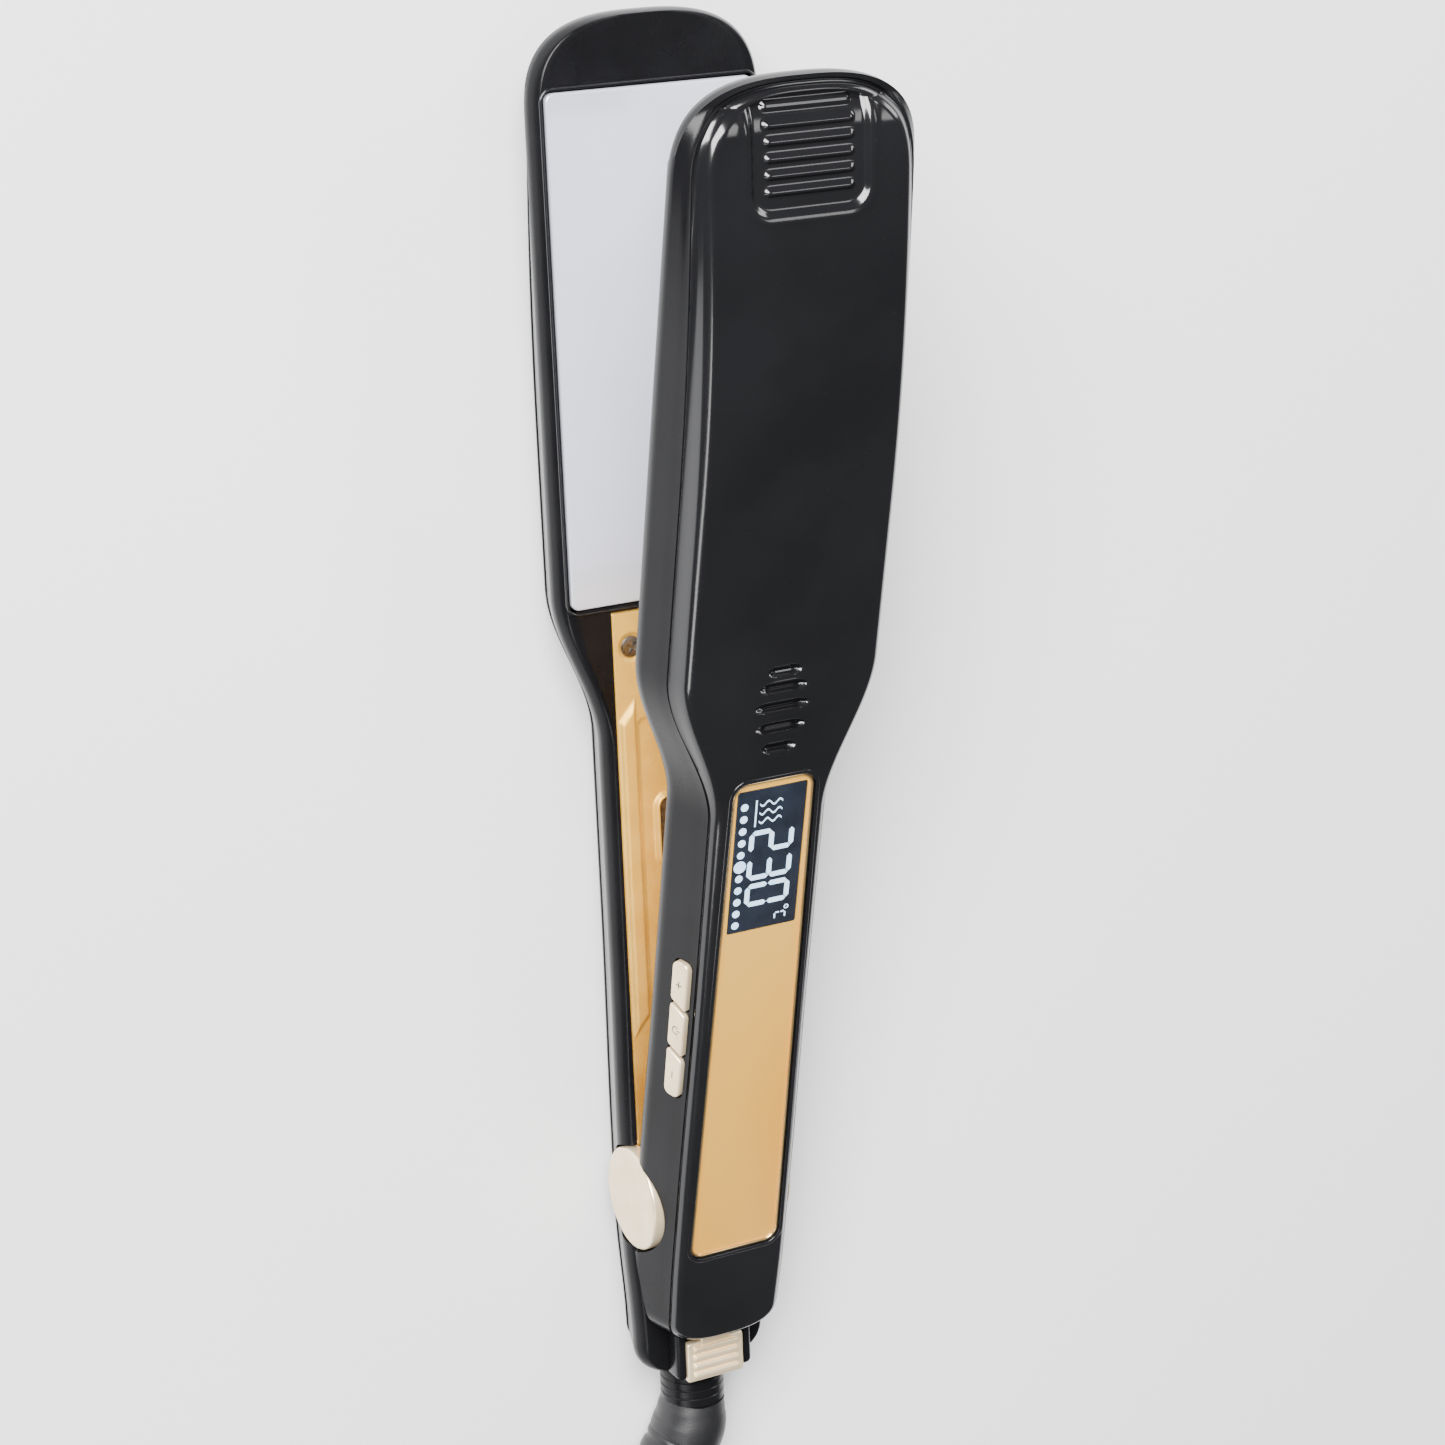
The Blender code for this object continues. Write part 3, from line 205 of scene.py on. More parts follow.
def makeSandedGold():
    # fine sanded grain, darker towards the hinge where the arms shade it, and paler in random patches and
    # specks
    g = Graph("sandedGold")
    grain = g.noise(4200, 2)
    patch = g.noise(90, 4)
    alongY = g.add("ShaderNodeSeparateXYZ", {"Vector": g.place}).outputs["Y"]
    near = g.ranged(alongY, -0.085, 0.0, 0, 1)
    colour = g.mixed(near, (0.46, 0.21, 0.02), (0.86, 0.48, 0.06))
    colour = g.mixed(g.ranged(patch, 0.35, 0.65, 0, 0.35), colour, (0.95, 0.60, 0.12))
    colour = g.mixed(g.ranged(grain, 0.60, 0.72, 0, 0.55), colour, (0.95, 0.78, 0.45))
    g.feed("Base Color", colour)
    g.feed("Roughness", g.ranged(g.noise(300, 3), 0.35, 0.65, 0.34, 0.50))
    g.feed("Metallic", 0.5)
    g.feed("Normal", g.bump(grain, 0.32, 0.00025))
    return g.material


def makePanelGold():
    # smooth gold under a clear face: deeper and more orange at its edges, by the UV from middle to edge
    g = Graph("panelGold")
    edge = g.add("ShaderNodeUVMap", uv_map="edge").outputs["UV"]
    share = g.add("ShaderNodeSeparateXYZ", {"Vector": edge}).outputs["X"]
    colour = g.mixed(g.ranged(share, 0.0, 1.0, 0, 1), (1.0, 0.60, 0.10), (0.98, 0.40, 0.02))
    colour = g.mixed(g.ranged(g.noise(22, 2, g.mapped((1, 0.3, 1))), 0.35, 0.7, 0, 0.5),
                     colour, (1.0, 0.68, 0.20))
    g.feed("Base Color", colour)
    g.feed("Roughness", g.ranged(g.noise(60, 4), 0.35, 0.65, 0.30, 0.38))
    g.feed("Metallic", 0.15)
    g.feed("Coat Weight", 0.4)
    g.feed("Coat Roughness", 0.03)
    g.feed("Normal", g.bump(g.noise(5200, 1), 0.05, 0.0001))
    return g.material


def makeMirror():
    # polished plate with faint lines of polish along it, light scuffs and a breath of heat tint in broad random
    # patches
    g = Graph("mirrorPlate")
    lines = g.noise(900, 3, g.mapped((1.0, 0.02, 1.0)))
    scuff = g.noise(45, 6, g.mapped((1.0, 0.35, 1.0), 0.3), 0.65)
    tint = g.ranged(g.noise(12, 2), 0.35, 0.7, 0, 0.5)
    g.feed("Base Color", g.mixed(tint, (0.66, 0.67, 0.74), (0.54, 0.55, 0.64)))
    g.feed("Roughness", g.ranged(scuff, 0.4, 0.66, 0.16, 0.26))
    g.feed("Metallic", 0.35)
    g.feed("Normal", g.bump(lines, 0.025, 0.0002))
    g.feed("Coat Weight", 0.2)
    return g.material


def makeScreen():
    # near-black glass with faint clouding
    g = Graph("screenGlass")
    g.feed("Base Color", g.mixed(g.ranged(g.noise(160, 2), 0.4, 0.6, 0, 1),
                                 (0.006, 0.010, 0.020), (0.012, 0.018, 0.032)))
    g.feed("Roughness", g.ranged(g.noise(120, 4), 0.4, 0.6, 0.06, 0.12))
    g.feed("Coat Weight", 1.0)
    g.feed("Coat Roughness", 0.02)
    g.feed("Normal", g.bump(g.noise(900, 1), 0.01, 0.0002))
    return g.material


def makeGlow():
    # lit figures: a cold white, a little brighter in random patches
    g = Graph("litFigures")
    flicker = g.ranged(g.noise(600, 2), 0.35, 0.65, 0, 1)
    lit = g.mixed(flicker, (0.42, 0.68, 1.0), (0.60, 0.82, 1.0))
    g.feed("Base Color", (0.3, 0.4, 0.5, 1))
    g.links.new(lit, g.shader.inputs["Emission Color"])
    g.feed("Emission Strength", 2.6)
    g.feed("Roughness", 0.3)
    return g.material


def makeClear():
    # clear moulded cover: almost all see-through, with gloss and light scuffs
    g = Graph("clearFace")
    g.feed("Base Color", (0.02, 0.02, 0.02, 1))
    g.feed("Alpha", 0.07)
    g.feed("Roughness", g.ranged(g.noise(80, 4), 0.4, 0.6, 0.03, 0.07))
    g.feed("Coat Weight", 1.0)
    return g.material


def makeStrap():
    # woven hook-and-loop strap: crossed fine threads with fuzz
    g = Graph("wovenStrap")
    rows = g.add("ShaderNodeTexWave", {"Vector": g.place, "Scale": 420.0, "Distortion": 1.5,
                                       "Detail": 1.0}, bands_direction="Y").outputs["Fac"]
    cross = g.add("ShaderNodeTexWave", {"Vector": g.place, "Scale": 300.0, "Distortion": 1.5,
                                        "Detail": 1.0}, bands_direction="X").outputs["Fac"]
    woven = g.add("ShaderNodeMath", {0: rows, 1: cross}, operation="MULTIPLY").outputs[0]
    g.feed("Base Color", g.mixed(woven, (0.012, 0.012, 0.014), (0.055, 0.055, 0.062)))
    g.feed("Roughness", g.ranged(g.noise(2000, 2), 0.3, 0.7, 0.75, 0.95))
    g.feed("Sheen Weight", 0.4)
    g.feed("Normal", g.bump(g.noise(1800, 3), 0.3, 0.0004, g.bump(woven, 0.6, 0.0005)))
    return g.material


made = {name: makeFinish(name, look) for name, look in finishes.items()}
made.update(sandedGold=makeSandedGold(), panelGold=makePanelGold(), mirrorPlate=makeMirror(),
            screenGlass=makeScreen(), litFigures=makeGlow(), clearFace=makeClear(),
            wovenStrap=makeStrap())
print("materials made:", len(made))


# soft light from above and behind, a strip and a fill for the edges, and a pale floor
studio = {
    "world": (0.55, 0.56, 0.58), "worldStrength": 0.42,
    # name: place, aim, size, energy
    "lights": {
        "topSoft": ((-0.75, 0.95, 1.35), (0.0, 0.0, 0.0), (1.2, 1.0), 135.0),
        "ribCard": ((0.72, 0.42, 1.40), (0.0, 0.12, 0.05), (0.55, 0.30), 3.0),
        "leftStrip": ((-0.95, -0.70, 0.95), (0.0, 0.05, 0.03), (0.16, 1.1), 6.0),
        "rightFill": ((1.2, 0.7, 0.5), (0.0, 0.05, 0.02), (0.5, 0.5), 7.0),
    },
}


def makeStudio():
    world = bpy.data.worlds.new("studio")
    bpy.context.scene.world = world
    world.use_nodes = True
    sky = world.node_tree.nodes["Background"]
    sky.inputs["Color"].default_value = (*studio["world"], 1)
    sky.inputs["Strength"].default_value = studio["worldStrength"]
    for name, (place, aim, size, energy) in studio["lights"].items():
        lamp = bpy.data.lights.new(name, "AREA")
        lamp.shape, lamp.size, lamp.size_y, lamp.energy = "RECTANGLE", size[0], size[1], energy
        light = bpy.data.objects.new(name, lamp)
        bpy.context.scene.collection.objects.link(light)
        light.location = place
        light.rotation_mode = "QUATERNION"
        light.rotation_quaternion = (Vector(aim) - Vector(place)).to_track_quat("-Z", "Y")
    g = Graph("paleFloor")
    cloud = g.ranged(g.noise(3, 2), 0.3, 0.7, 0, 1)
    g.feed("Base Color", g.mixed(cloud, (0.86, 0.86, 0.87), (0.89, 0.89, 0.89)))
    g.feed("Roughness", 0.6)
    mesh = bpy.data.meshes.new("floor")
    mesh.from_pydata([(-4, -4, 0), (4, -4, 0), (4, 4, 0), (-4, 4, 0)], [], [(0, 1, 2, 3)])
    mesh.materials.append(g.material)
    floor = bpy.data.objects.new("floor", mesh)
    floor.location.z = -0.0002
    bpy.context.scene.collection.objects.link(floor)


makeStudio()


def smooth(t):
    t = np.clip(t, 0.0, 1.0)
    return t * t * (3 - 2 * t)


def toTable(p):
    return (np.asarray(p, float) + (0, arm["hingeY"], 0)) * 0.001


def toLower(p):
    # the lower arm lies turned over, its outer face on the table
    p = np.asarray(p, float)
    return np.stack([-p[..., 0], p[..., 1] + arm["hingeY"], arm["depth"] - p[..., 2]], -1) * 0.001


def toUpper(p):
    p = np.asarray(p, float)
    c, s = math.cos(math.radians(arm["openDegrees"])), math.sin(math.radians(arm["openDegrees"]))
    return np.stack([p[..., 0], p[..., 1] * c - p[..., 2] * s + arm["hingeY"],
                     p[..., 1] * s + p[..., 2] * c + arm["depth"]], -1) * 0.001


def gridFaces(rows, columns, closed):
    # quads between neighbours of a rows x columns grid, wrapped along the columns if closed
    r, c = np.meshgrid(np.arange(rows - 1), np.arange(columns if closed else columns - 1), indexing="ij")
    after = (c + 1) % columns
    return np.stack([r * columns + c, r * columns + after, (r + 1) * columns + after,
                     (r + 1) * columns + c], -1).reshape(-1, 4)


def newPiece(name, points, faces, material, angle=35.0):
    # welds equal points, drops what collapsed, points the faces outwards and shades smooth
    points = np.asarray(points, float).reshape(-1, 3)
    keys, inverse = np.unique(np.round(points * 1e7).astype(np.int64), axis=0, return_inverse=True)
    inverse = inverse.reshape(-1)
    kept = np.zeros((len(keys), 3))
    kept[inverse] = points
    polygons = [tuple(dict.fromkeys(inverse[list(face)].tolist())) for face in faces]
    mesh = bpy.data.meshes.new(name)
    mesh.from_pydata(kept.tolist(), [], [p for p in polygons if len(p) > 2])
    mesh.validate()
    flipOut(mesh)
    mesh.shade_smooth()
    mesh.set_sharp_from_angle(angle=math.radians(angle))
    mesh.materials.append(made[material])
    piece = bpy.data.objects.new(name, mesh)
    bpy.context.scene.collection.objects.link(piece)
    return piece


def flipOut(mesh):
    work = bmesh.new()
    work.from_mesh(mesh)
    bmesh.ops.recalc_face_normals(work, faces=work.faces)
    work.to_mesh(mesh)
    work.free()


def addPiece(name, solid, place, material, body, replaced=(), angle=35.0):
    # a mesh that stands for CAD nodes, rides on a body and names its material slot
    points, faces = solid
    piece = newPiece(name, place(points), faces, material, angle)
    if replaced:
        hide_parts(*replaced)
    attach(piece, body)
    return piece


def joined(parts):
    # several (points, faces) as one
    points, faces, base = [], [], 0
    for p, f in parts:
        p = np.asarray(p, float).reshape(-1, 3)
        points.append(p)
        faces += [tuple(int(k) + base for k in face) for face in f]
        base += len(p)
    return np.vstack(points), faces


def booleanOn(target, parts, operation="DIFFERENCE", place=lambda p: p, angle=35.0):
    points, faces = joined(parts)
    tool = newPiece("tool", place(points), faces, "innerBlack")
    tool.data.materials.clear()
    change = target.modifiers.new("change", "BOOLEAN")
    change.operation, change.object, change.solver = operation, tool, "EXACT"
    ready = bpy.context.evaluated_depsgraph_get()
    mesh = bpy.data.meshes.new_from_object(target.evaluated_get(ready))
    target.modifiers.clear()
    old, target.data = target.data, mesh
    bpy.data.meshes.remove(old)
    bpy.data.objects.remove(tool)
    mesh.shade_smooth()
    mesh.set_sharp_from_angle(angle=math.radians(angle))
    mesh.name = target.name


def roundedOutline(corners, radius, steps=6):
    # each corner becomes an arc that touches both sides, by a quadratic curve
    corners = np.asarray(corners, float)
    radii = np.broadcast_to(radius, len(corners))
    out = []
    t = np.linspace(0, 1, steps + 1)[:, None]
    for k, corner in enumerate(corners):
        before, after = corners[k - 1] - corner, corners[(k + 1) % len(corners)] - corner
        reach = [min(radii[k], np.linalg.norm(side) / 2.01) for side in (before, after)]
        a = corner + before / np.linalg.norm(before) * reach[0]
        b = corner + after / np.linalg.norm(after) * reach[1]
        mid = corner + (a + b - 2 * corner) * 0.17  # keeps the arc near a circle's
        out.append((1 - t) ** 2 * a + 2 * t * (1 - t) * mid + t ** 2 * b)
    return np.vstack(out)


def inward(outline, inset):
    # moves each point of a closed outline inwards, along the mean of its sides' normals
    ahead = np.roll(outline, -1, 0) - outline
    ahead /= np.maximum(np.linalg.norm(ahead, axis=1, keepdims=True), 1e-9)
    normal = np.stack([-ahead[:, 1], ahead[:, 0]], 1)
    mean = normal + np.roll(normal, 1, 0)
    mean /= np.maximum(np.linalg.norm(mean, axis=1, keepdims=True), 1e-9)
    x, y = outline.T
    area = np.sum(x * np.roll(y, -1) - y * np.roll(x, -1))
    return outline + mean * inset * np.sign(area)


def stacked(outline, profile, swap=None):
    # one outline carried up a profile of (inset, height) rows and closed at both ends
    rows = [np.column_stack([inward(outline, inset) if inset else outline,
                             np.full(len(outline), height)]) for inset, height in profile]
    count = len(outline)
    faces = gridFaces(len(rows), count, True).tolist()
    faces += [list(range(count)), list(range((len(rows) - 1) * count, len(rows) * count))]
    points = np.vstack(rows)
    return (swap(points) if swap else points), faces


def domed(low, high, edge, foot=0.15, steps=5):
    # profile from a flat base to a top whose edge is rounded by a quarter ellipse
    a = np.linspace(0, math.pi / 2, steps)
    sign = 1 if high > low else -1
    rows = [(foot, low), (0.0, low + sign * foot)]
    rows += [(edge * (1 - math.cos(k)), high - sign * edge * (1 - math.sin(k))) for k in a]
    return rows


def box(low, high, edge=0.0):
    (x0, y0, z0), (x1, y1, z1) = low, high
    outline = np.array([(x0, y0), (x1, y0), (x1, y1), (x0, y1)], float)
    if edge:
        outline = roundedOutline(outline, edge, 4)
        a = np.linspace(0, math.pi / 2, 5)
        rows = [(edge * (1 - math.sin(k)), z0 + edge * (1 - math.cos(k))) for k in a]
        rows += [(edge * (1 - math.cos(k)), z1 - edge * (1 - math.sin(k))) for k in a]
        return stacked(outline, rows)
    return stacked(outline, [(0, z0), (0, z1)])


def turned(profile, start, axis, count=64):
    # (distance along the axis, radius) rows turned round it, closed by a disc at each end
    axis = Vector(axis).normalized()
    side = axis.orthogonal().normalized()
    other = np.array(axis.cross(side))
    a = np.linspace(0, 2 * math.pi, count, endpoint=False)
    ring = np.cos(a)[:, None] * np.array(side) + np.sin(a)[:, None] * other
    rows = [np.array(start) + np.array(axis) * along + ring * max(radius, 1e-4) for along, radius in profile]
    faces = gridFaces(len(rows), count, True).tolist()
    faces += [list(range(count)), list(range((len(rows) - 1) * count, len(rows) * count))]
    return np.vstack(rows), faces


def rectangle(halfX, start, end):
    return np.array([(-halfX, start), (halfX, start), (halfX, end), (-halfX, end)], float)


def alongX(outline, low, high):
    # a prism across the arm from a side outline of (y, h)
    points, faces = stacked(np.asarray(outline, float), [(0, low), (0, high)])
    return points[:, [2, 0, 1]], faces


# One length of 1.8 m runs from the neck, through the hank, to the plug. Millimetres in the
# iron's own frame: y from the hinge axis, z up from the table.
cordLook = {"radius": 3.25, "run": 164.0, "hankY": -227.0, "inner": 20.4, "step": 6.7, "waist": 9.0,
            "laps": 3.25, "perLap": 64}
neckRoute = [(0, -56.1, 9.6), (-0.4, -58.4, 9.6), (-1.2, -62.5, 9.6), (-3.6, -67.5, 9.3),
             (-8.0, -72.6, 8.7), (-12.8, -77.4, 7.9), (-17.4, -82.6, 7.0), (-21.0, -89.4, 6.2),
             (-24.1, -95.4, 5.5), (-26.0, -103.0, 4.4), (-26.9, -111.5, 3.6), (-27.1, -120.0, 3.3),
             (-27.1, -132.0, 3.25)]
plugRoute = [(-24.4, -319.0, 17.1), (-17.2, -326.2, 17.7), (-7.2, -328.9, 18.5), (2.8, -326.2, 19.3),
             (10.0, -319.0, 19.95), (12.6, -311.0, 20.24), (12.7, -300.0, 20.25), (12.7, -286.5, 20.25)]


def hankRoute():
    # A long loop with round ends: down the left run, round the far fold, up the right run, round the
    # near fold. Radius and height step to the next strand over each near fold. The last run climbs
    # on top of the others.
    look = cordLook
    half, centre = look["run"] / 2, look["hankY"]
    t = np.linspace(0, look["laps"], int(look["laps"] * look["perLap"]) + 1)

    def fold(start):
        return smooth((t - start) / 0.25)

    radius = look["inner"] + look["step"] * (1 - fold(0.75) + fold(2.75))
    z = look["radius"] + look["step"] * fold(1.75) + look["step"] * smooth((t - 3.08) / 0.16)
    u = t % 1
    left, far, right = u < 0.25, (u >= 0.25) & (u < 0.5), (u >= 0.5) & (u < 0.75)
    run = np.where(left, half - u * 4 * look["run"], -half + (u - 0.5) * 4 * look["run"])
    waist = look["waist"] * np.cos(np.pi * np.clip(run / look["run"], -0.5, 0.5)) ** 2
    angle = np.where(far, np.pi * (1 + (u - 0.25) * 4), np.pi * (u - 0.75) * 4)
    x = np.where(left, waist - radius, np.where(right, radius - waist, radius * np.cos(angle)))
    ends = np.where(far, -half, half) + radius * np.sin(angle)
    y = np.where(left | right, run, ends) + centre
    return np.column_stack([x, y, z])[1:]


def makeCord():
    points = np.vstack([neckRoute, hankRoute(), plugRoute])
    length = np.linalg.norm(np.diff(points, axis=0), axis=1).sum()
    print(f"cord route {length / 1000:.3f} m")
    curve = bpy.data.curves.new("power_cord", "CURVE")
    curve.dimensions, curve.bevel_depth, curve.bevel_resolution = "3D", cordLook["radius"] / 1000, 4
    curve.use_fill_caps = True
    spline = curve.splines.new("NURBS")
    spline.points.add(len(points) - 1)
    where = np.column_stack([toTable(points), np.ones(len(points))])
    spline.points.foreach_set("co", where.ravel())
    spline.order_u, spline.use_endpoint_u, spline.resolution_u = 4, True, 3
    curve.materials.append(made["cordRubber"])
    cord = bpy.data.objects.new("power_cord", curve)
    bpy.context.scene.collection.objects.link(cord)
    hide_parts("cord_lead", "cord_hank", "plug_lead")
    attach(cord, "lower_arm")
    return cord


cord = makeCord()


def halfWidth(y, tail):
    # wide head and narrow handle, joined by a smooth shoulder and slimmer at the tail
    a = arm
    shoulder = smooth((y - a["shoulderStart"]) / (a["shoulderEnd"] - a["shoulderStart"]))
    taper = (1.4 if tail == a["lowerTail"] else 0.6) * smooth((-8 - y) / 30)
    swell = 0.4 * smooth((60 - y) / 50)
    return a["handleHalf"] + (a["headHalf"] - a["handleHalf"]) * shoulder + swell - taper


def sideInset(h):
    # how far the side wall leans in at a depth: a little below its widest line, more above it
    a = arm
    below = a["leanIn"] * np.clip((a["widestLow"] - h) / (a["widestLow"] - a["deck"]), 0, 1) ** 1.6
    above = np.clip((h - a["widestHigh"]) / (a["depth"] - a["widestHigh"]), 0, None)
    return below + a["leanOut"] * above ** 1.25


def fall(y):
    # how far the outer face curves down towards the tip: two parabolas, the second near the very end
    slow = 0.00142 * np.clip(y - 170.0, 0, None) ** 2
    return np.minimum(slow + 0.062 * np.clip(y - 244.5, 0, None) ** 2, 10.4)


def withFall(y, h):
    # the outer face takes the whole fall and the widest line none of it
    share = np.clip((h - arm["widestHigh"]) / (arm["depth"] - arm["widestHigh"]), 0, 1)
    return h - fall(y) * np.minimum(1.1 * share, 0.3 + 0.7 * share)


def seamDepth(y):
    # depth of the line between shell and housing, nearer the plate along the head
    head = smooth((y - arm["shoulderStart"]) / (arm["shoulderEnd"] - arm["shoulderStart"]))
    return arm["seamHandle"] + (arm["seamHead"] - arm["seamHandle"]) * head


def evenAngles(power, across, along, step):
    # angles that step evenly round a quarter superellipse
    t = np.linspace(0, math.pi / 2, 3000)
    x, y = across * np.cos(t).clip(0) ** (2 / power), along * np.sin(t) ** (2 / power)
    length = np.concatenate([[0], np.cumsum(np.hypot(np.diff(x), np.diff(y)))])
    return np.interp(np.linspace(0, length[-1], max(4, int(length[-1] / step))), length, t)


def sweepArm(points, tail, sideY, steps):
    # Each point of the cross-section is (share across, depth, share of the way to that depth from
    # the seam, offset from the seam, lean, wall, end wall). At the tip and tail the width follows
    # a quarter superellipse down to nothing, which closes the surface.
    a = arm
    share, depth, mix, offset, extra, wall, endWall = np.array(points, float).T[:, None, :]
    tipY, endY = a["tipY"] - a["tipRound"], tail + a["tailRound"]
    tip = evenAngles(2.8, a["headHalf"], a["tipRound"], steps[0])[::-1]
    back = evenAngles(2.6, a["handleHalf"], a["tailRound"], steps[1])
    rows = []
    for kind, values in (("tip", tip), ("side", sideY), ("tail", back)):
        v = np.asarray(values, float)[:, None]
        at = {"tip": np.full_like(v, tipY), "side": v, "tail": np.full_like(v, endY)}[kind]
        lean = mix * sideInset(depth) + (1 - mix) * sideInset(seamDepth(at)) + extra
        half = halfWidth(at, tail) - lean - wall
        if kind == "tip":
            x = half * np.cos(v).clip(0) ** (2 / 2.8)
            y = tipY + np.sin(v) ** (2 / 2.8) * (a["tipRound"] - a["tipLean"] * lean - endWall)
        elif kind == "side":
            x, y = half, v + 0 * half
        else:
            x = half * np.cos(v).clip(0) ** (2 / 2.6)
            y = endY - np.sin(v) ** (2 / 2.6) * (a["tailRound"] - a["tailLean"] * lean - wall)
        h = withFall(y, mix * depth + (1 - mix) * seamDepth(y)) + offset
        rows.append(np.stack([x * share, y, h], -1))
    return np.concatenate(rows)


def roundedDistance(x, y, halfX, start, end, radius):
    # how far a point is outside a rounded rectangle, negative inside
    qx = np.abs(x) - (halfX - radius)
    qy = np.abs(y - (start + end) / 2) - ((end - start) / 2 - radius)
    outside = np.hypot(np.clip(qx, 0, None), np.clip(qy, 0, None))
    return outside + np.minimum(np.maximum(qx, qy), 0) - radius


grip = {"half": 12.2, "start": 230.2, "depth": 0.95, "corner": 4.2, "lip": 0.22,
        "ribs": 7, "ribStart": 234.1, "ribStep": 3.05, "ribHalf": 8.6, "ribRise": 0.8}
vents = {"places": ((136.1, 4.6), (132.5, 6.4), (128.2, 7.4), (123.5, 6.6), (118.8, 4.6)),
         "half": 0.85, "depth": 1.3, "ramp": 2.9, "wall": 0.6}


def shellRelief(x, y):
    # height added to the outer face: the sunk grip with its lip and ribs, and the lens-shaped vents
    inside = roundedDistance(x, y, grip["half"], grip["start"], 275.0, grip["corner"])
    rise = -grip["depth"] * smooth(0.5 - inside / 1.5)
    rise += grip["lip"] * np.exp(-((inside - 1.5) / 0.8) ** 2)
    for k in range(grip["ribs"]):
        middle = grip["ribStart"] + k * grip["ribStep"]
        away = np.hypot(np.clip(np.abs(x) - grip["ribHalf"], 0, None), y - middle)
        rise += grip["ribRise"] * smooth(1 - away / 1.25)
    for middle, half in vents["places"]:
        # a scoop that slopes down from the tip side and ends at a steep wall on the tail side
        size = smooth(1.15 - (x / half) ** 2)
        low = middle - vents["half"] * size
        down = np.clip((low + vents["ramp"] * size - y) / np.maximum(vents["ramp"] * size, 0.05), 0, 1)
        shut = smooth((y - low) / vents["wall"])
        rise -= vents["depth"] * size * smooth(down) * shut
        rise += 0.22 * size * np.exp(-((y - low + 0.35) / 0.55) ** 2)
    return rise


def mirroredLoop(side, across, columns, lastLean, back):
    # a cross-section from its right side, a run of columns across, and the same side on the left
    spread = np.sin(np.linspace(math.pi / 2, -math.pi / 2, columns + 2))[1:-1]
    spread = 0.35 * spread + 0.65 * np.linspace(1, -1, columns + 2)[1:-1]
    loop = [(1, *point) for point in side]
    loop += [(s, across, 1, 0, lastLean, 0, 0) for s in spread]
    loop += [(-1, *point) for point in side[::-1]]
    loop += [(-1, *point) for point in back] + [(1, *point) for point in back[::-1]]
    return loop


def makeShell(name, node, tail, place, body):
    # outer half of an arm: its wall from the seam up, a rounded edge and the face across
    a = arm
    gap, top = a["seamGap"] / 2, a["depth"] - a["edgeDown"]
    side = [(0, 0, gap + 0.1, 0, a["wall"], a["tipWall"]), (0, 0, gap, 0, 0.3, 0.3),
            (0, 0, gap + 0.12, 0, 0.06, 0), (0, 0, gap + 0.35, 0, 0, 0)]
    side += [(top, f, gap * (1 - f), 0, 0, 0) for f in (0.3, 0.65, 1.0)]
    for k in np.linspace(0, math.pi / 2, 9)[1:]:
        depth = a["depth"] - a["edgeDown"] * (1 - math.sin(k))
        side.append((depth, 1, 0, a["edgeIn"] * (1 - math.cos(k)), 0, 0))
    back = [(a["floor"], 1, 0, 0, a["wall"], a["tipWall"])]
    columns = 100
    loop = mirroredLoop(side, a["depth"], columns, a["edgeIn"], back)
    fine = np.arange(140, 116, -0.27)
    sideY = np.concatenate([np.arange(233.4, 228, -0.3), np.arange(227, 141, -3.5), fine,
                            np.arange(115.5, 98, -1.2), np.arange(96, tail + a["tailRound"] + 1, -4)])
    grid = sweepArm(loop, tail, sideY, (0.27, 0.7))
    middle = slice(len(side), len(side) + columns)
    grid[:, middle, 2] += shellRelief(grid[:, middle, 0], grid[:, middle, 1])
    shell = addPiece(name, (grid, gridFaces(*grid.shape[:2], True)), place, "pianoBlack", body,
                     (node,), 40)
    cuts = [turned([(13.0, 12.0), (24.0, 12.0)], (0, 0, 0), (s, 0, 0), 96) for s in (-1, 1)]
    if body == "upper_arm":
        cuts.append(stacked(roundedOutline(panelCorners(0.3), 3.0), [(0, panel["floor"]), (0, 22)]))
    booleanOn(shell, cuts, place=place, angle=40)


panel = {"start": -6.4, "end": 111.6, "tail": 10.8, "tip": 9.4, "floor": 16.1,
         "screen": (76.0, 109.4, 7.9)}


def panelCorners(grow):
    p = panel
    return np.array([(-p["tail"] - grow, p["start"] - grow), (p["tail"] + grow, p["start"] - grow),
                     (p["tip"] + grow, p["end"] + grow), (-p["tip"] - grow, p["end"] + grow)])


pocket = {"plateHalf": 23.2, "plate": (133.4, 239.2), "coverHalf": 14.0, "cover": (11.0, 131.5),
          "gap": 0.3}


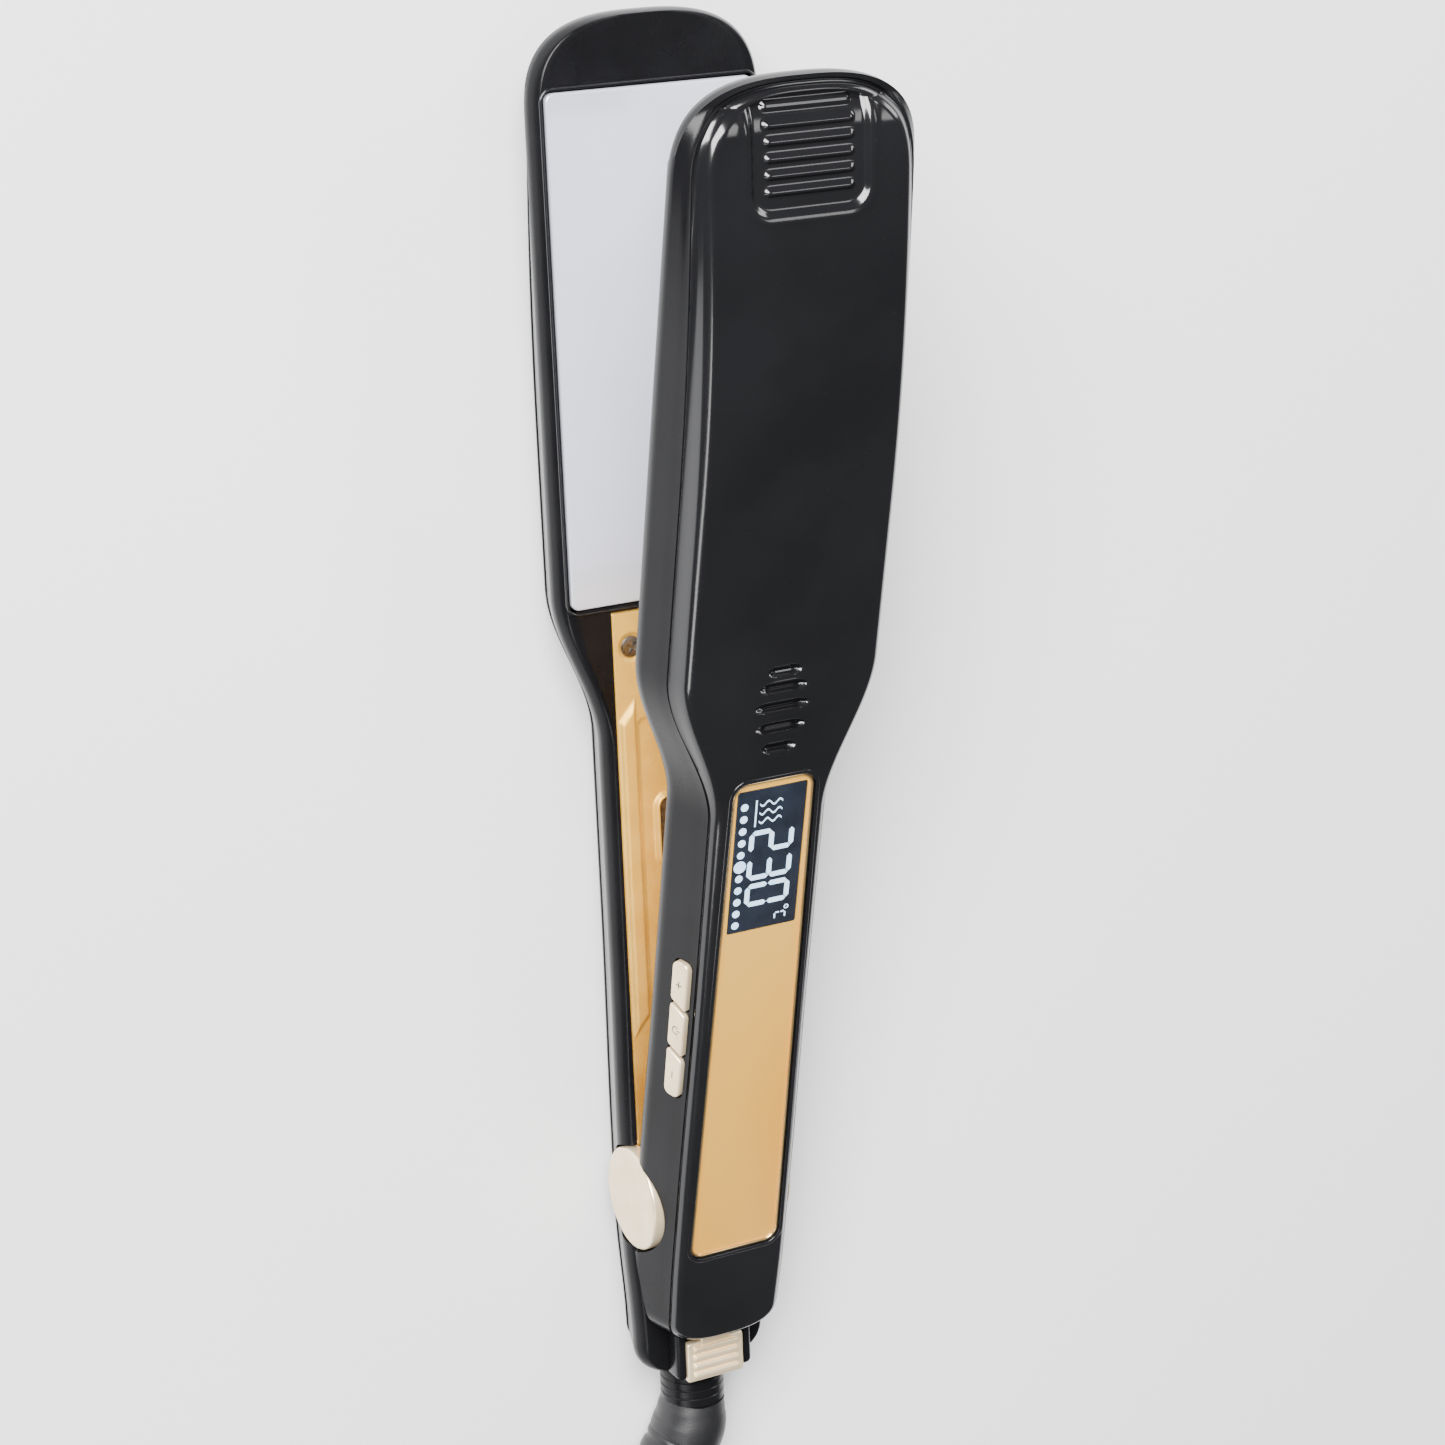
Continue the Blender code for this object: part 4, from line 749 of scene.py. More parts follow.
def makeHousing(name, node, tail, place, body, extra):
    # inner half of an arm: its wall from the seam down to a flat deck, with pockets cut in it
    a, gap = arm, -arm["seamGap"] / 2
    high = a["widestHigh"]
    side = [(0, 0, gap, 0, a["wall"], a["tipWall"]), (0, 0, gap, 0, 0.3, 0.3),
            (0, 0, gap - 0.12, 0, 0.06, 0), (0, 0, gap - 0.35, 0, 0, 0)]
    side += [(high, f, gap * (1 - f), 0, 0, 0) for f in (0.25, 0.5, 0.75, 0.9, 1.0)]
    side += [(h, 1, 0, 0, 0, 0) for h in (4.2, 3.5, 2.9, 2.3, 1.8, 1.3, 1.0)]
    side += [(0.78, 1, 0, 0.04, 0, 0), (0.64, 1, 0, 0.16, 0, 0)]
    back = [(high, 1, 0, 0, a["wall"], a["tipWall"]), (a["deckBack"], 1, 0, 0, a["wall"], a["tipWall"])]
    loop = mirroredLoop(side, a["deck"], 16, 0.4, back)
    sideY = np.concatenate([np.arange(232, 141, -4.5), np.arange(140, 98, -1.0),
                            np.arange(96, tail + a["tailRound"] + 1, -4)])
    grid = sweepArm(loop, tail, sideY, (0.5, 0.6))
    housing = addPiece(name, (grid, gridFaces(*grid.shape[:2], True)), place, "satinBlack", body,
                       (node,), 40)
    p, grow = pocket, pocket["gap"]
    cuts = [stacked(rectangle(p["plateHalf"] + grow, p["plate"][0] - grow, p["plate"][1] + grow),
                    [(0, -1), (0, 5)]),
            stacked(rectangle(p["coverHalf"] + grow, p["cover"][0] - grow, p["cover"][1] + grow),
                    [(0, -1.2), (0, 5.2)])]
    cuts += [turned([(13.0, 12.0), (24.0, 12.0)], (0, 0, 0), (s, 0, 0), 96) for s in (-1, 1)]
    for cut in cuts + extra:
        booleanOn(housing, [cut], place=place, angle=40)


slider = {"half": 7.0, "out": -45.7, "in": -36.1, "top": -5.3, "travel": 6.0,
          "blockHalf": 9.3, "blockTop": -4.2, "blockStart": -17.0, "ribs": (-44.0, -41.9, -39.8, -37.7)}


def lowerCuts():
    # room in the lower housing for the hinge, the lock's tongue and window, and the neck
    s = slider
    return [box((-13.4, -8.5, -2), (13.4, 12, 5)), box((-6.5, -30.4, -2), (6.5, -23.6, 5)),
            box((-1.9, -43.6, -2), (1.9, -32.4, 5)),
            turned([(0, 5.6), (14, 5.6)], (0, -38, 8.2), (0, -1, 0), 48)]


def upperCuts():
    # room in the upper housing for the lock, the hinge and the buttons, under a tail cut on a slope
    slope = alongX([(-2.0, -3), (-2.0, 1.4), (-42, 13.0), (-42, -3)], -26, 26)
    return [slope, box((-11.6, -42, -3), (11.6, -8, 20)), box((-13.4, -9.5, -2), (13.4, 12, 5)),
            *[wallPlaced(stacked(outline, [(0, -8), (0, 4)])) for outline in buttonOutlines(0.3).values()]]


# three keys in one rounded strip on the upper arm's side wall, parted by slanted gaps
buttons = {"y": 51.0, "depth": 11.4, "halfLength": 16.6, "halfWidth": 2.2, "cut": 5.6, "lean": 1.0,
           "gap": 0.55, "proud": 0.7, "edge": 0.5}


def wallPlaced(solid):
    # from the wall's own frame, in which x runs up the wall, y along the arm and z out of it
    b = buttons
    lean = math.atan(sideInset(b["depth"] + 0.5) - sideInset(b["depth"] - 0.5))
    wallX = float(halfWidth(np.array(b["y"]), arm["upperTail"]) - sideInset(b["depth"]))
    up = np.array([math.sin(lean), 0, math.cos(lean)])
    out = np.array([-math.cos(lean), 0, math.sin(lean)])
    points, faces = solid
    points = np.asarray(points, float)
    return (np.array([-wallX, b["y"], b["depth"]]) + points[:, :1] * up
            + points[:, 1:2] * np.array([0, 1, 0]) + points[:, 2:] * out), faces


def buttonOutlines(grow):
    b = buttons
    w, end, cut, lean = b["halfWidth"] + grow, b["halfLength"] + grow, b["cut"], b["lean"]
    gap = b["gap"] - grow
    top = [(-w, cut + gap + lean), (w, cut + gap - lean), (w, end), (-w, end)]
    middle = [(-w, -cut + gap + lean), (w, -cut + gap - lean), (w, cut - gap - lean),
              (-w, cut - gap + lean)]
    low = [(-w, -end), (w, -end), (w, -cut - gap - lean), (-w, -cut - gap + lean)]
    return {"plus": roundedOutline(top, (0.7, 0.7, 1.5, 1.5), 7), "power": roundedOutline(middle, 0.7, 7),
            "minus": roundedOutline(low, (1.5, 1.5, 0.7, 0.7), 7)}


def ringMark(radius, width, start, end, count=28):
    # part of a flat ring as an outline
    a = np.linspace(math.radians(start), math.radians(end), count)
    outer = np.column_stack([np.cos(a), np.sin(a)]) * (radius + width / 2)
    inner = np.column_stack([np.cos(a), np.sin(a)])[::-1] * (radius - width / 2)
    return np.vstack([outer, inner])


def makeButtons():
    b = buttons
    marks = {
        "plus": [rectangle(0.85, 11.0, 11.28), rectangle(0.14, 10.29, 11.99)],
        "power": [ringMark(0.85, 0.26, 40, 320), rectangle(0.13, 0.35, 1.25)[:, ::-1]],
        "minus": [rectangle(0.13, -12.0, -10.3)],
    }
    for word, outline in buttonOutlines(0.0).items():
        profile = domed(-3.2, b["proud"], b["edge"])
        body, top = f"button_{word}_body", b["proud"]
        button = addPiece(f"{word}_button", wallPlaced(stacked(outline, profile)), toUpper, "champagne",
                          body, (f"button_{word}",))
        for mark in marks[word]:
            booleanOn(button, [wallPlaced(stacked(mark, [(0, top - 0.12), (0, top + 0.6)]))], place=toUpper)
        for k, mark in enumerate(marks[word]):
            inlay = wallPlaced(stacked(inward(mark, 0.01), [(0, top - 0.25), (0, top - 0.05)]))
            addPiece(f"{word}_mark_{k + 1}", inlay, toUpper, "markDark", body)


makeShell("lower_outer_shell", "lower_shell", arm["lowerTail"], toLower, "lower_arm")
makeShell("upper_outer_shell", "upper_shell", arm["upperTail"], toUpper, "upper_arm")
print("shells made")
makeHousing("lower_deck_housing", "lower_housing", arm["lowerTail"], toLower, "lower_arm", lowerCuts())
makeHousing("upper_deck_housing", "upper_housing", arm["upperTail"], toUpper, "upper_arm", upperCuts())
print("housings made")
makeButtons()
print("buttons made")


# heating plates that float in the housings, with a bead round each pocket
plate = {"half": 23.2, "start": 133.4, "end": 239.2, "face": 0.2, "corner": 1.6, "edge": 0.45,
         "beadOut": 0.62, "beadHalf": 0.30, "beadRise": 0.34, "railX": 13}


def beadRound(outline, profile):
    # a closed bead: a small closed cross-section of (out, h) carried round an outline
    rows = [np.column_stack([inward(outline, -out), np.full(len(outline), h)]) for out, h in profile]
    points = np.stack(rows, 1)
    faces = gridFaces(len(outline) + 1, len(profile), True)
    points = np.concatenate([points, points[:1]])
    return points.reshape(-1, 3), faces


def makePlates():
    p = plate
    outline = roundedOutline(rectangle(p["half"], p["start"], p["end"]), p["corner"], 8)
    profile = domed(1.8, p["face"], p["edge"], 0.1, 7)
    a = np.linspace(0, 2 * math.pi, 13)[:-1]
    bead = np.column_stack([p["beadOut"] + p["beadHalf"] * np.cos(a), arm["deck"] - p["beadRise"] * np.sin(a)])
    for word, place in (("lower", toLower), ("upper", toUpper)):
        body = f"{word}_plate_body"
        addPiece(f"{word}_heat_plate", stacked(outline, profile), place, "mirrorPlate", body,
                 (f"{word}_plate",))
        for k, x in enumerate((-p["railX"], p["railX"])):
            rail = box((x - 1, p["start"] + 8, 1.5), (x + 1, p["end"] - 8, 4.2), 0.2)
            addPiece(f"{word}_plate_rail_{k + 1}", rail, place, "springSteel", body)
        wide = roundedOutline(rectangle(p["half"] + 0.35, p["start"] - 0.35, p["end"] + 0.35), 1.9, 8)
        addPiece(f"{word}_plate_rim", beadRound(wide, bead), place, "pianoBlack", f"{word}_arm")


makePlates()


# gold covers inside the handles, with two raised bars, screw seats and the guide's socket
cover = {"half": 14.0, "start": 11.0, "end": 131.5, "face": 1.4, "back": 2.8,
         "bar": (11.3, 38.0, 110.5), "foot": 2.15, "crest": 1.25, "rise": 0.95,
         "socket": (82.0, 4.7, 7.3), "screws": (9.5, 123.5)}


def coverFace(x, y, withSocket):
    # depth of the cover's face: a middle field sunk a little, two raised bars with slanted ends,
    # a seat round each screw and a raised rim round the socket
    c = cover
    h = np.full_like(x, c["face"])
    field = roundedDistance(x, y, c["bar"][0] - 2.5, c["start"] + 8, c["bar"][2] - 3, 1.5)
    h += 0.4 * smooth(0.5 - field / 0.8)
    side = np.abs(x) - c["bar"][0]
    along = y + 2.5 * side / c["foot"]
    ends = np.minimum(along - c["bar"][1], c["bar"][2] - along)
    slope = np.minimum((c["foot"] - np.abs(side)) / (c["foot"] - c["crest"]), ends / 2.2)
    h -= c["rise"] * smooth(slope * 0.85)
    if withSocket:
        y0, hx, hy = c["socket"]
        rim = roundedDistance(x, y, hx + 0.5, y0 - hy - 0.5, y0 + hy + 0.5, 2.6)
        raised = c["face"] + 0.4 - 1.1 * smooth(1.2 - np.abs(rim) / 0.75)
        h = np.where(np.abs(rim) < 1.2, np.minimum(h, raised), h)
    seat = np.hypot(np.abs(x) - c["screws"][0], y - c["screws"][1])
    h += 0.65 * smooth((3.1 - seat) / 0.5)
    edge = np.minimum(c["half"] - np.abs(x), np.minimum(y - c["start"], c["end"] - y))
    return h + 0.35 * smooth(1 - edge / 0.5)


def makeCover(word, place, withSocket):
    # the face above is a height for each x and y; a flat back and a wall round the rim close it
    c = cover
    x = np.linspace(-c["half"], c["half"], 116)
    y = np.linspace(c["start"], c["end"], 330)
    gx, gy = np.meshgrid(x, y, indexing="ij")
    top = np.stack([gx, gy, coverFace(gx, gy, withSocket)], -1)
    base = top.copy()
    base[..., 2] = c["back"]
    rows, columns = gx.shape
    faces = gridFaces(rows, columns, False).tolist()
    faces += [tuple(k + rows * columns for k in face) for face in faces]
    rim = np.concatenate([np.arange(columns), np.arange(1, rows) * columns + columns - 1,
                          (rows - 1) * columns + np.arange(columns - 2, -1, -1),
                          np.arange(rows - 2, 0, -1) * columns])
    after = np.roll(rim, -1)
    faces += np.stack([rim, after, after + rows * columns, rim + rows * columns], 1).tolist()
    points = np.concatenate([top.reshape(-1, 3), base.reshape(-1, 3)])
    piece = addPiece(f"{word}_gold_cover", (points, faces), place, "sandedGold", f"{word}_arm",
                     (f"{word}_inner_cover",), 50)
    y0, hx, hy = c["socket"]
    if withSocket:
        hole = stacked(roundedOutline(rectangle(hx, y0 - hy, y0 + hy), 2.4), [(0, -2), (0, 6)])
    else:
        hole = box((-2.0, y0 - 5, -1), (2.0, y0 + 5, 5))
    booleanOn(piece, [hole], place=place, angle=50)
    for s in (-1, 1):
        booleanOn(piece, [turned([(0, 1.6), (5, 1.6)], (s * c["screws"][0], c["screws"][1], 0), (0, 0, 1), 32)],
                  place=place, angle=50)


makeCover("lower", toLower, True)
makeCover("upper", toUpper, False)


# rows of (depth, radius) from the dished head to the point, and the cross recess
screwShape = {"rows": [(1.25, 0.9), (1.3, 1.5), (1.45, 2.1), (1.75, 2.35), (2.0, 2.35), (2.02, 1.4),
                       (9.5, 1.4), (10.5, 0.4)], "slot": (1.35, 0.3), "slotDepth": 1.95}


def makeScrews():
    # pan-head screws with a cross recess, sunk in the covers' seats
    long, wide = screwShape["slot"]
    for word, place in (("lower", toLower), ("upper", toUpper)):
        for s, hand in ((-1, "left"), (1, "right")):
            at = (s * cover["screws"][0], cover["screws"][1])
            head = turned(screwShape["rows"], (*at, 0), (0, 0, 1), 40)
            screw = addPiece(f"{word}_{hand}_screw", head, place, "darkSteel", f"{word}_arm",
                             (f"{word}_screw_{hand}",))
            turn = 0.5 if s > 0 else 0.2
            for angle in (turn, turn + math.pi / 2):
                c, si = math.cos(angle), math.sin(angle)
                bar = np.array([(-long, -wide), (long, -wide), (long, wide), (-long, wide)])
                bar = bar @ np.array([(c, si), (-si, c)]) + at
                booleanOn(screw, [stacked(bar, [(0, 0), (0, screwShape["slotDepth"])])], place=place)


makeScrews()
print("plates, covers and screws made")


def makePanel():
    # gold inlay round a dark screen, under a clear face, with a gold trim and a black rim
    p = panel
    base = p["floor"] + 0.3
    s0, s1, half = p["screen"]
    outline = roundedOutline(panelCorners(-0.02), 2.9, 8)
    inlay = addPiece("gold_inlay", stacked(outline, domed(base, base + 0.6, 0.15)), toUpper, "panelGold",
                     "upper_arm", ("panel_inlay",))
    booleanOn(inlay, [stacked(roundedOutline(rectangle(half + 0.15, s0 - 0.15, s1 + 0.15), 0.5, 4),
                              [(0, base - 3), (0, base + 3)])], place=toUpper)
    edgeMap(inlay)
    glass = roundedOutline(rectangle(half, s0, s1), 0.4, 4)
    addPiece("dark_screen", stacked(glass, domed(base, base + 0.62, 0.1)), toUpper, "screenGlass", "upper_arm",
             ("display_screen",))
    addPiece("clear_face", stacked(outline, domed(base + 0.9, arm["depth"] + 0.2, 0.5)), toUpper, "clearFace",
             "upper_arm", ("panel_cover",))
    a = np.linspace(0, 2 * math.pi, 13)[:-1]
    trim = np.column_stack([-0.42 + 0.36 * np.cos(a), base + 0.62 + 0.42 * np.sin(a)])
    addPiece("gold_trim", beadRound(outline, trim), toUpper, "trimGold", "upper_arm")
    rim = np.column_stack([0.52 + 0.45 * np.cos(a), arm["depth"] - 0.02 + 0.16 * np.sin(a)])
    addPiece("panel_rim", beadRound(outline, rim), toUpper, "pianoBlack", "upper_arm")


def edgeMap(piece):
    # a UV whose first number runs from 0 in the panel's middle to 1 at its long edges
    mesh = piece.data
    place = np.zeros(len(mesh.vertices) * 3)
    mesh.vertices.foreach_get("co", place)
    loops = np.zeros(len(mesh.loops), dtype=np.int32)
    mesh.loops.foreach_get("vertex_index", loops)
    layer = mesh.uv_layers.new(name="edge")
    share = np.abs(place.reshape(-1, 3)[:, 0]) / 0.0105
    layer.uv.foreach_set("vector", np.column_stack([share[loops] ** 3, share[loops] * 0]).ravel())


# Figures on the screen, read with the arm held tip to the left: u runs to the right of the
# figures (towards the tail), v upwards (towards +x), both in millimetres from the screen's corner.
def segment(a, b, width):
    # a stroke with pointed ends from a to b
    a, b = np.array(a, float), np.array(b, float)
    ahead = (b - a) / np.linalg.norm(b - a)
    side = np.array([-ahead[1], ahead[0]]) * width / 2
    short = ahead * width / 2
    return np.array([a, a + short + side, b - short + side, b, b - short - side, a + short - side])


def digit(which, u, v, width, height, stroke):
    gap = 0.12
    corners = {"a": ((0, height), (width, height)), "b": ((width, height), (width, height / 2)),
               "c": ((width, height / 2), (width, 0)), "d": ((0, 0), (width, 0)),
               "e": ((0, height / 2), (0, 0)), "f": ((0, height), (0, height / 2)),
               "g": ((0, height / 2), (width, height / 2))}
    lit = {"0": "abcdef", "2": "abged", "3": "abgcd", "C": "adef"}[which]
    out = []
    for name in lit:
        a, b = (np.array(end, float) for end in corners[name])
        ahead = (b - a) / np.linalg.norm(b - a) * gap
        out.append(segment(a + ahead + (u, v), b - ahead + (u, v), stroke))
    return out


figures = {
    "text": "230", "start": (10.2, 3.7), "pitch": 6.3, "size": (4.3, 9.2), "stroke": 1.1,
    "unit": (30.4, 10.6, 1.5, 2.4, 0.32), "degree": (29.4, 13.2),
    "dots": 11, "dotStart": (3.6, 1.45), "dotStep": 2.8, "dotRadius": 0.85, "bigDot": (5, 1.4),
    "waves": 3, "waveStart": (3.5, 5.0), "waveStep": 2.0, "waveLength": 5.2, "waveSway": 0.5, "waveHalf": 0.2,
    "bar": [(2.4, 4.0), (8.6, 4.0), (8.6, 4.35), (2.4, 4.35)], "proud": 0.06,
}


def makeFigures():
    # three figures with their unit, a scale of dots and heat waves over a bar
    s0, s1, half = panel["screen"]
    f = figures
    shapes = []
    for k, figure in enumerate(f["text"]):
        shapes += digit(figure, f["start"][0] + k * f["pitch"], f["start"][1], *f["size"], f["stroke"])
    shapes += digit("C", *f["unit"])
    shapes.append(ringMark(0.42, 0.24, 0, 350, 20) + f["degree"])
    a = np.linspace(0, 2 * math.pi, 21)[:-1]
    for k in range(f["dots"]):
        radius = f["bigDot"][1] if k == f["bigDot"][0] else f["dotRadius"]
        middle = (f["dotStart"][0] + k * f["dotStep"], f["dotStart"][1])
        shapes.append(np.column_stack([np.cos(a), np.sin(a)]) * radius + middle)
    t = np.linspace(0, 1, 20)
    side = np.array([f["waveHalf"], 0.0])
    for k in range(f["waves"]):
        u = f["waveStart"][0] + f["waveSway"] * np.sin(t * 4 * math.pi) + k * f["waveStep"]
        line = np.column_stack([u, f["waveStart"][1] + t * f["waveLength"]])
        shapes.append(np.vstack([line + side, (line - side)[::-1]]))
    shapes.append(np.array(f["bar"]))
    base = panel["floor"] + 0.3 + 0.62
    points, faces = joined([stacked(shape, [(0, base - 0.05), (0, base + f["proud"])]) for shape in shapes])
    points = np.column_stack([-half + 0.2 + points[:, 1], s1 - points[:, 0], points[:, 2]])
    addPiece("lit_figures", (points, faces), toUpper, "litFigures", "upper_arm")


makePanel()
makeFigures()
print("panel and figures made")


# a thin disc with a softly rounded edge, which closes each end of the hinge
hingeCap = {"radius": 11.5, "foot": 10.9, "inside": 13.4, "wall": 16.1, "edge": 0.8, "bore": 2.5}


def makeCaps():
    c = hingeCap
    for s, word in ((1, "left"), (-1, "right")):
        profile = [(c["inside"], c["foot"]), (c["inside"] + 0.5, c["radius"]), (c["wall"], c["radius"])]
        for k in np.linspace(0, math.pi / 2, 7):
            profile.append((c["wall"] + c["edge"] * math.sin(k), c["radius"] - c["edge"] * (1 - math.cos(k))))
        profile += [(16.93, 8.5), (16.96, 4.0), (16.97, 0.01)]
        cap = addPiece(f"{word}_hinge_cap", turned(profile, (0, 0, 0), (s, 0, 0), 128), toLower, "champagne",
                       "lower_arm", (f"hinge_cap_{word}",))
        booleanOn(cap, [turned([(12, c["bore"]), (15.5, c["bore"])], (0, 0, 0), (s, 0, 0), 48)], place=toLower)


def makeSlider():
    # a ribbed thumb piece on a tongue that runs through the housing, in a black block with a slot
    s = slider
    parts = [box((-s["half"], s["out"], s["top"] + 0.7), (s["half"], s["in"], -2.5), 0.6),
             box((-3.5, s["in"] - 3, -4.7), (3.5, -28.3, -2.6), 0.3),
             box((-1.5, -43.0, -3.4), (1.5, -39.0, 3.6), 0.2),
             box((-3.6, -43.4, 3.2), (3.6, -38.6, 4.6), 0.3)]
    parts += [box((-5.5, y - 0.6, s["top"] - 0.05), (5.5, y + 0.6, -3.4), 0.35) for y in s["ribs"]]
    piece = addPiece("champagne_slider", parts[0], toLower, "champagne", "lock_slider_body",
                     ("lock_slider",))
    for part in parts[1:]:
        booleanOn(piece, [part], "UNION", place=toLower)
    block = box((-s["blockHalf"], -45.0, s["blockTop"]), (s["blockHalf"], s["blockStart"], 2.2), 1.2)
    block = addPiece("slider_block", block, toLower, "satinBlack", "lower_arm")
    cuts = [box((-s["half"] - 0.3, -49, -8), (s["half"] + 0.3, s["in"] + s["travel"] + 0.4, -2.2), 0.2),
            box((-3.9, -40, -8), (3.9, -21.4, -2.0), 0.2), box((-6.5, -30.4, -8), (6.5, -23.6, 4), 0.2),
            box((-1.9, -43.6, -4), (1.9, -32.4, 4))]
    for cut in cuts:
        booleanOn(block, [cut], place=toLower)


neck = {"start": -43.6, "height": 8.2, "length": 12.2, "rings": 3, "grooves": 11, "grooveDepth": 0.42,
        "radii": (7.2, 7.7, 8.4, 8.3, 7.4, 6.3, 5.4, 4.6)}


def makeNeck():
    # a turned collar, then a boot: a tapering tube along the cord's first points on a smooth curve
    length = neck["length"]
    profile = [(0, 5.6), (0.3, 6.1), (0.9, 6.1), (0.91, 5.3), (3.6, 5.3), (3.62, 6.6), (3.9, 7.1), (4.3, 7.2)]
    for k in range(neck["rings"]):  # shallow rings round the barrel
        profile += [(5.6 + k * 2.0, 7.2), (5.8 + k * 2.0, 7.0), (6.0 + k * 2.0, 7.0), (6.2 + k * 2.0, 7.2)]
    profile += [(length - 0.3, 7.2), (length, 6.9)]
    addPiece("neck_collar", turned(profile, (0, neck["start"], neck["height"]), (0, -1, 0), 72), toLower,
             "satinBlack", "swivel_collar_body", ("swivel_collar",))
    keys = np.column_stack([neckRoute[:len(neck["radii"])], neck["radii"]])
    t = np.linspace(0, len(keys) - 1, 110)
    padded = np.vstack([2 * keys[0] - keys[1], keys, 2 * keys[-1] - keys[-2]])
    k = np.minimum(t.astype(int), len(keys) - 2)
    f = (t - k)[:, None]
    a, b, c, d = padded[k], padded[k + 1], padded[k + 2], padded[k + 3]
    line = 0.5 * (2 * b + (c - a) * f + (2 * a - 5 * b + 4 * c - d) * f ** 2
                  + (3 * b - a - 3 * c + d) * f ** 3)
    ahead = np.gradient(line[:, :3], axis=0)
    ahead[0] = (0, -1, 0)
    ahead /= np.linalg.norm(ahead, axis=1, keepdims=True)
    across = np.cross(ahead, (0, 0, 1))
    across /= np.linalg.norm(across, axis=1, keepdims=True)
    up = np.cross(across, ahead)
    # grooves across the tapered part, as on a boot made to bend
    step = np.linspace(0, 1, len(line))
    groove = smooth((np.sin(step * 2 * math.pi * neck["grooves"]) - 0.1) * 1.6)
    groove = groove * smooth((step - 0.34) / 0.08) * smooth((0.97 - step) / 0.05)
    radius = line[:, 3] - neck["grooveDepth"] * groove
    radius[-1] -= 0.5
    turn = np.linspace(0, 2 * math.pi, 56, endpoint=False)
    points = line[:, None, :3] + radius[:, None, None] * (
        across[:, None] * np.cos(turn)[None, :, None] + up[:, None] * np.sin(turn)[None, :, None])
    points[..., 2] = np.maximum(points[..., 2], 0.02)
    rows, columns = points.shape[:2]
    faces = gridFaces(rows, columns, True).tolist()
    faces += [list(range(columns)), list(range((rows - 1) * columns, rows * columns))]
    return addPiece("cord_boot", (points.reshape(-1, 3), faces), toTable, "cordRubber", "lower_arm",
                    ("strain_relief",), 60)


tie = {"half": 8.0, "thick": 1.3, "slack": 0.9, "corner": 5.0}


def makeTie():
    # a strap round the hank's waist: an outline round the cords carried along a closed cross-section
    hank = 2 * 2 * cordLook["radius"] + 0.1
    waist = cordLook["inner"] + cordLook["step"] + cordLook["radius"] - cordLook["waist"]
    inner, thick, half, y0 = waist + tie["slack"], tie["thick"], tie["half"], cordLook["hankY"]
    outer, top = inner + thick, hank + 2 * thick + 0.3
    ring = roundedOutline([(-outer, 0.02), (outer, 0.02), (outer, top), (-outer, top)], tie["corner"], 10)
    rows = [np.column_stack([r[:, 0], np.full(len(r), y), r[:, 1]]) for r, y in (
        (inward(ring, 0.35), y0 - half), (ring, y0 - half + 0.4), (ring, y0 + half - 0.4),
        (inward(ring, 0.35), y0 + half), (inward(ring, thick - 0.2), y0 + half),
        (inward(ring, thick), y0 + half - 0.3), (inward(ring, thick), y0 - half + 0.3),
        (inward(ring, thick - 0.2), y0 - half))]
    points = np.stack(rows + rows[:1])
    faces = gridFaces(len(rows) + 1, len(ring), True)
    return addPiece("hank_strap", (points.reshape(-1, 3), faces), toTable, "wovenStrap", "lower_arm",
                    ("cord_tie",), 50)


plug = {"at": (12.7, -288.0, 20.25), "half": 17.6, "height": 13.7, "length": 36.0, "edge": 3.0,
        "pin": 2.0, "spacing": 18.6}


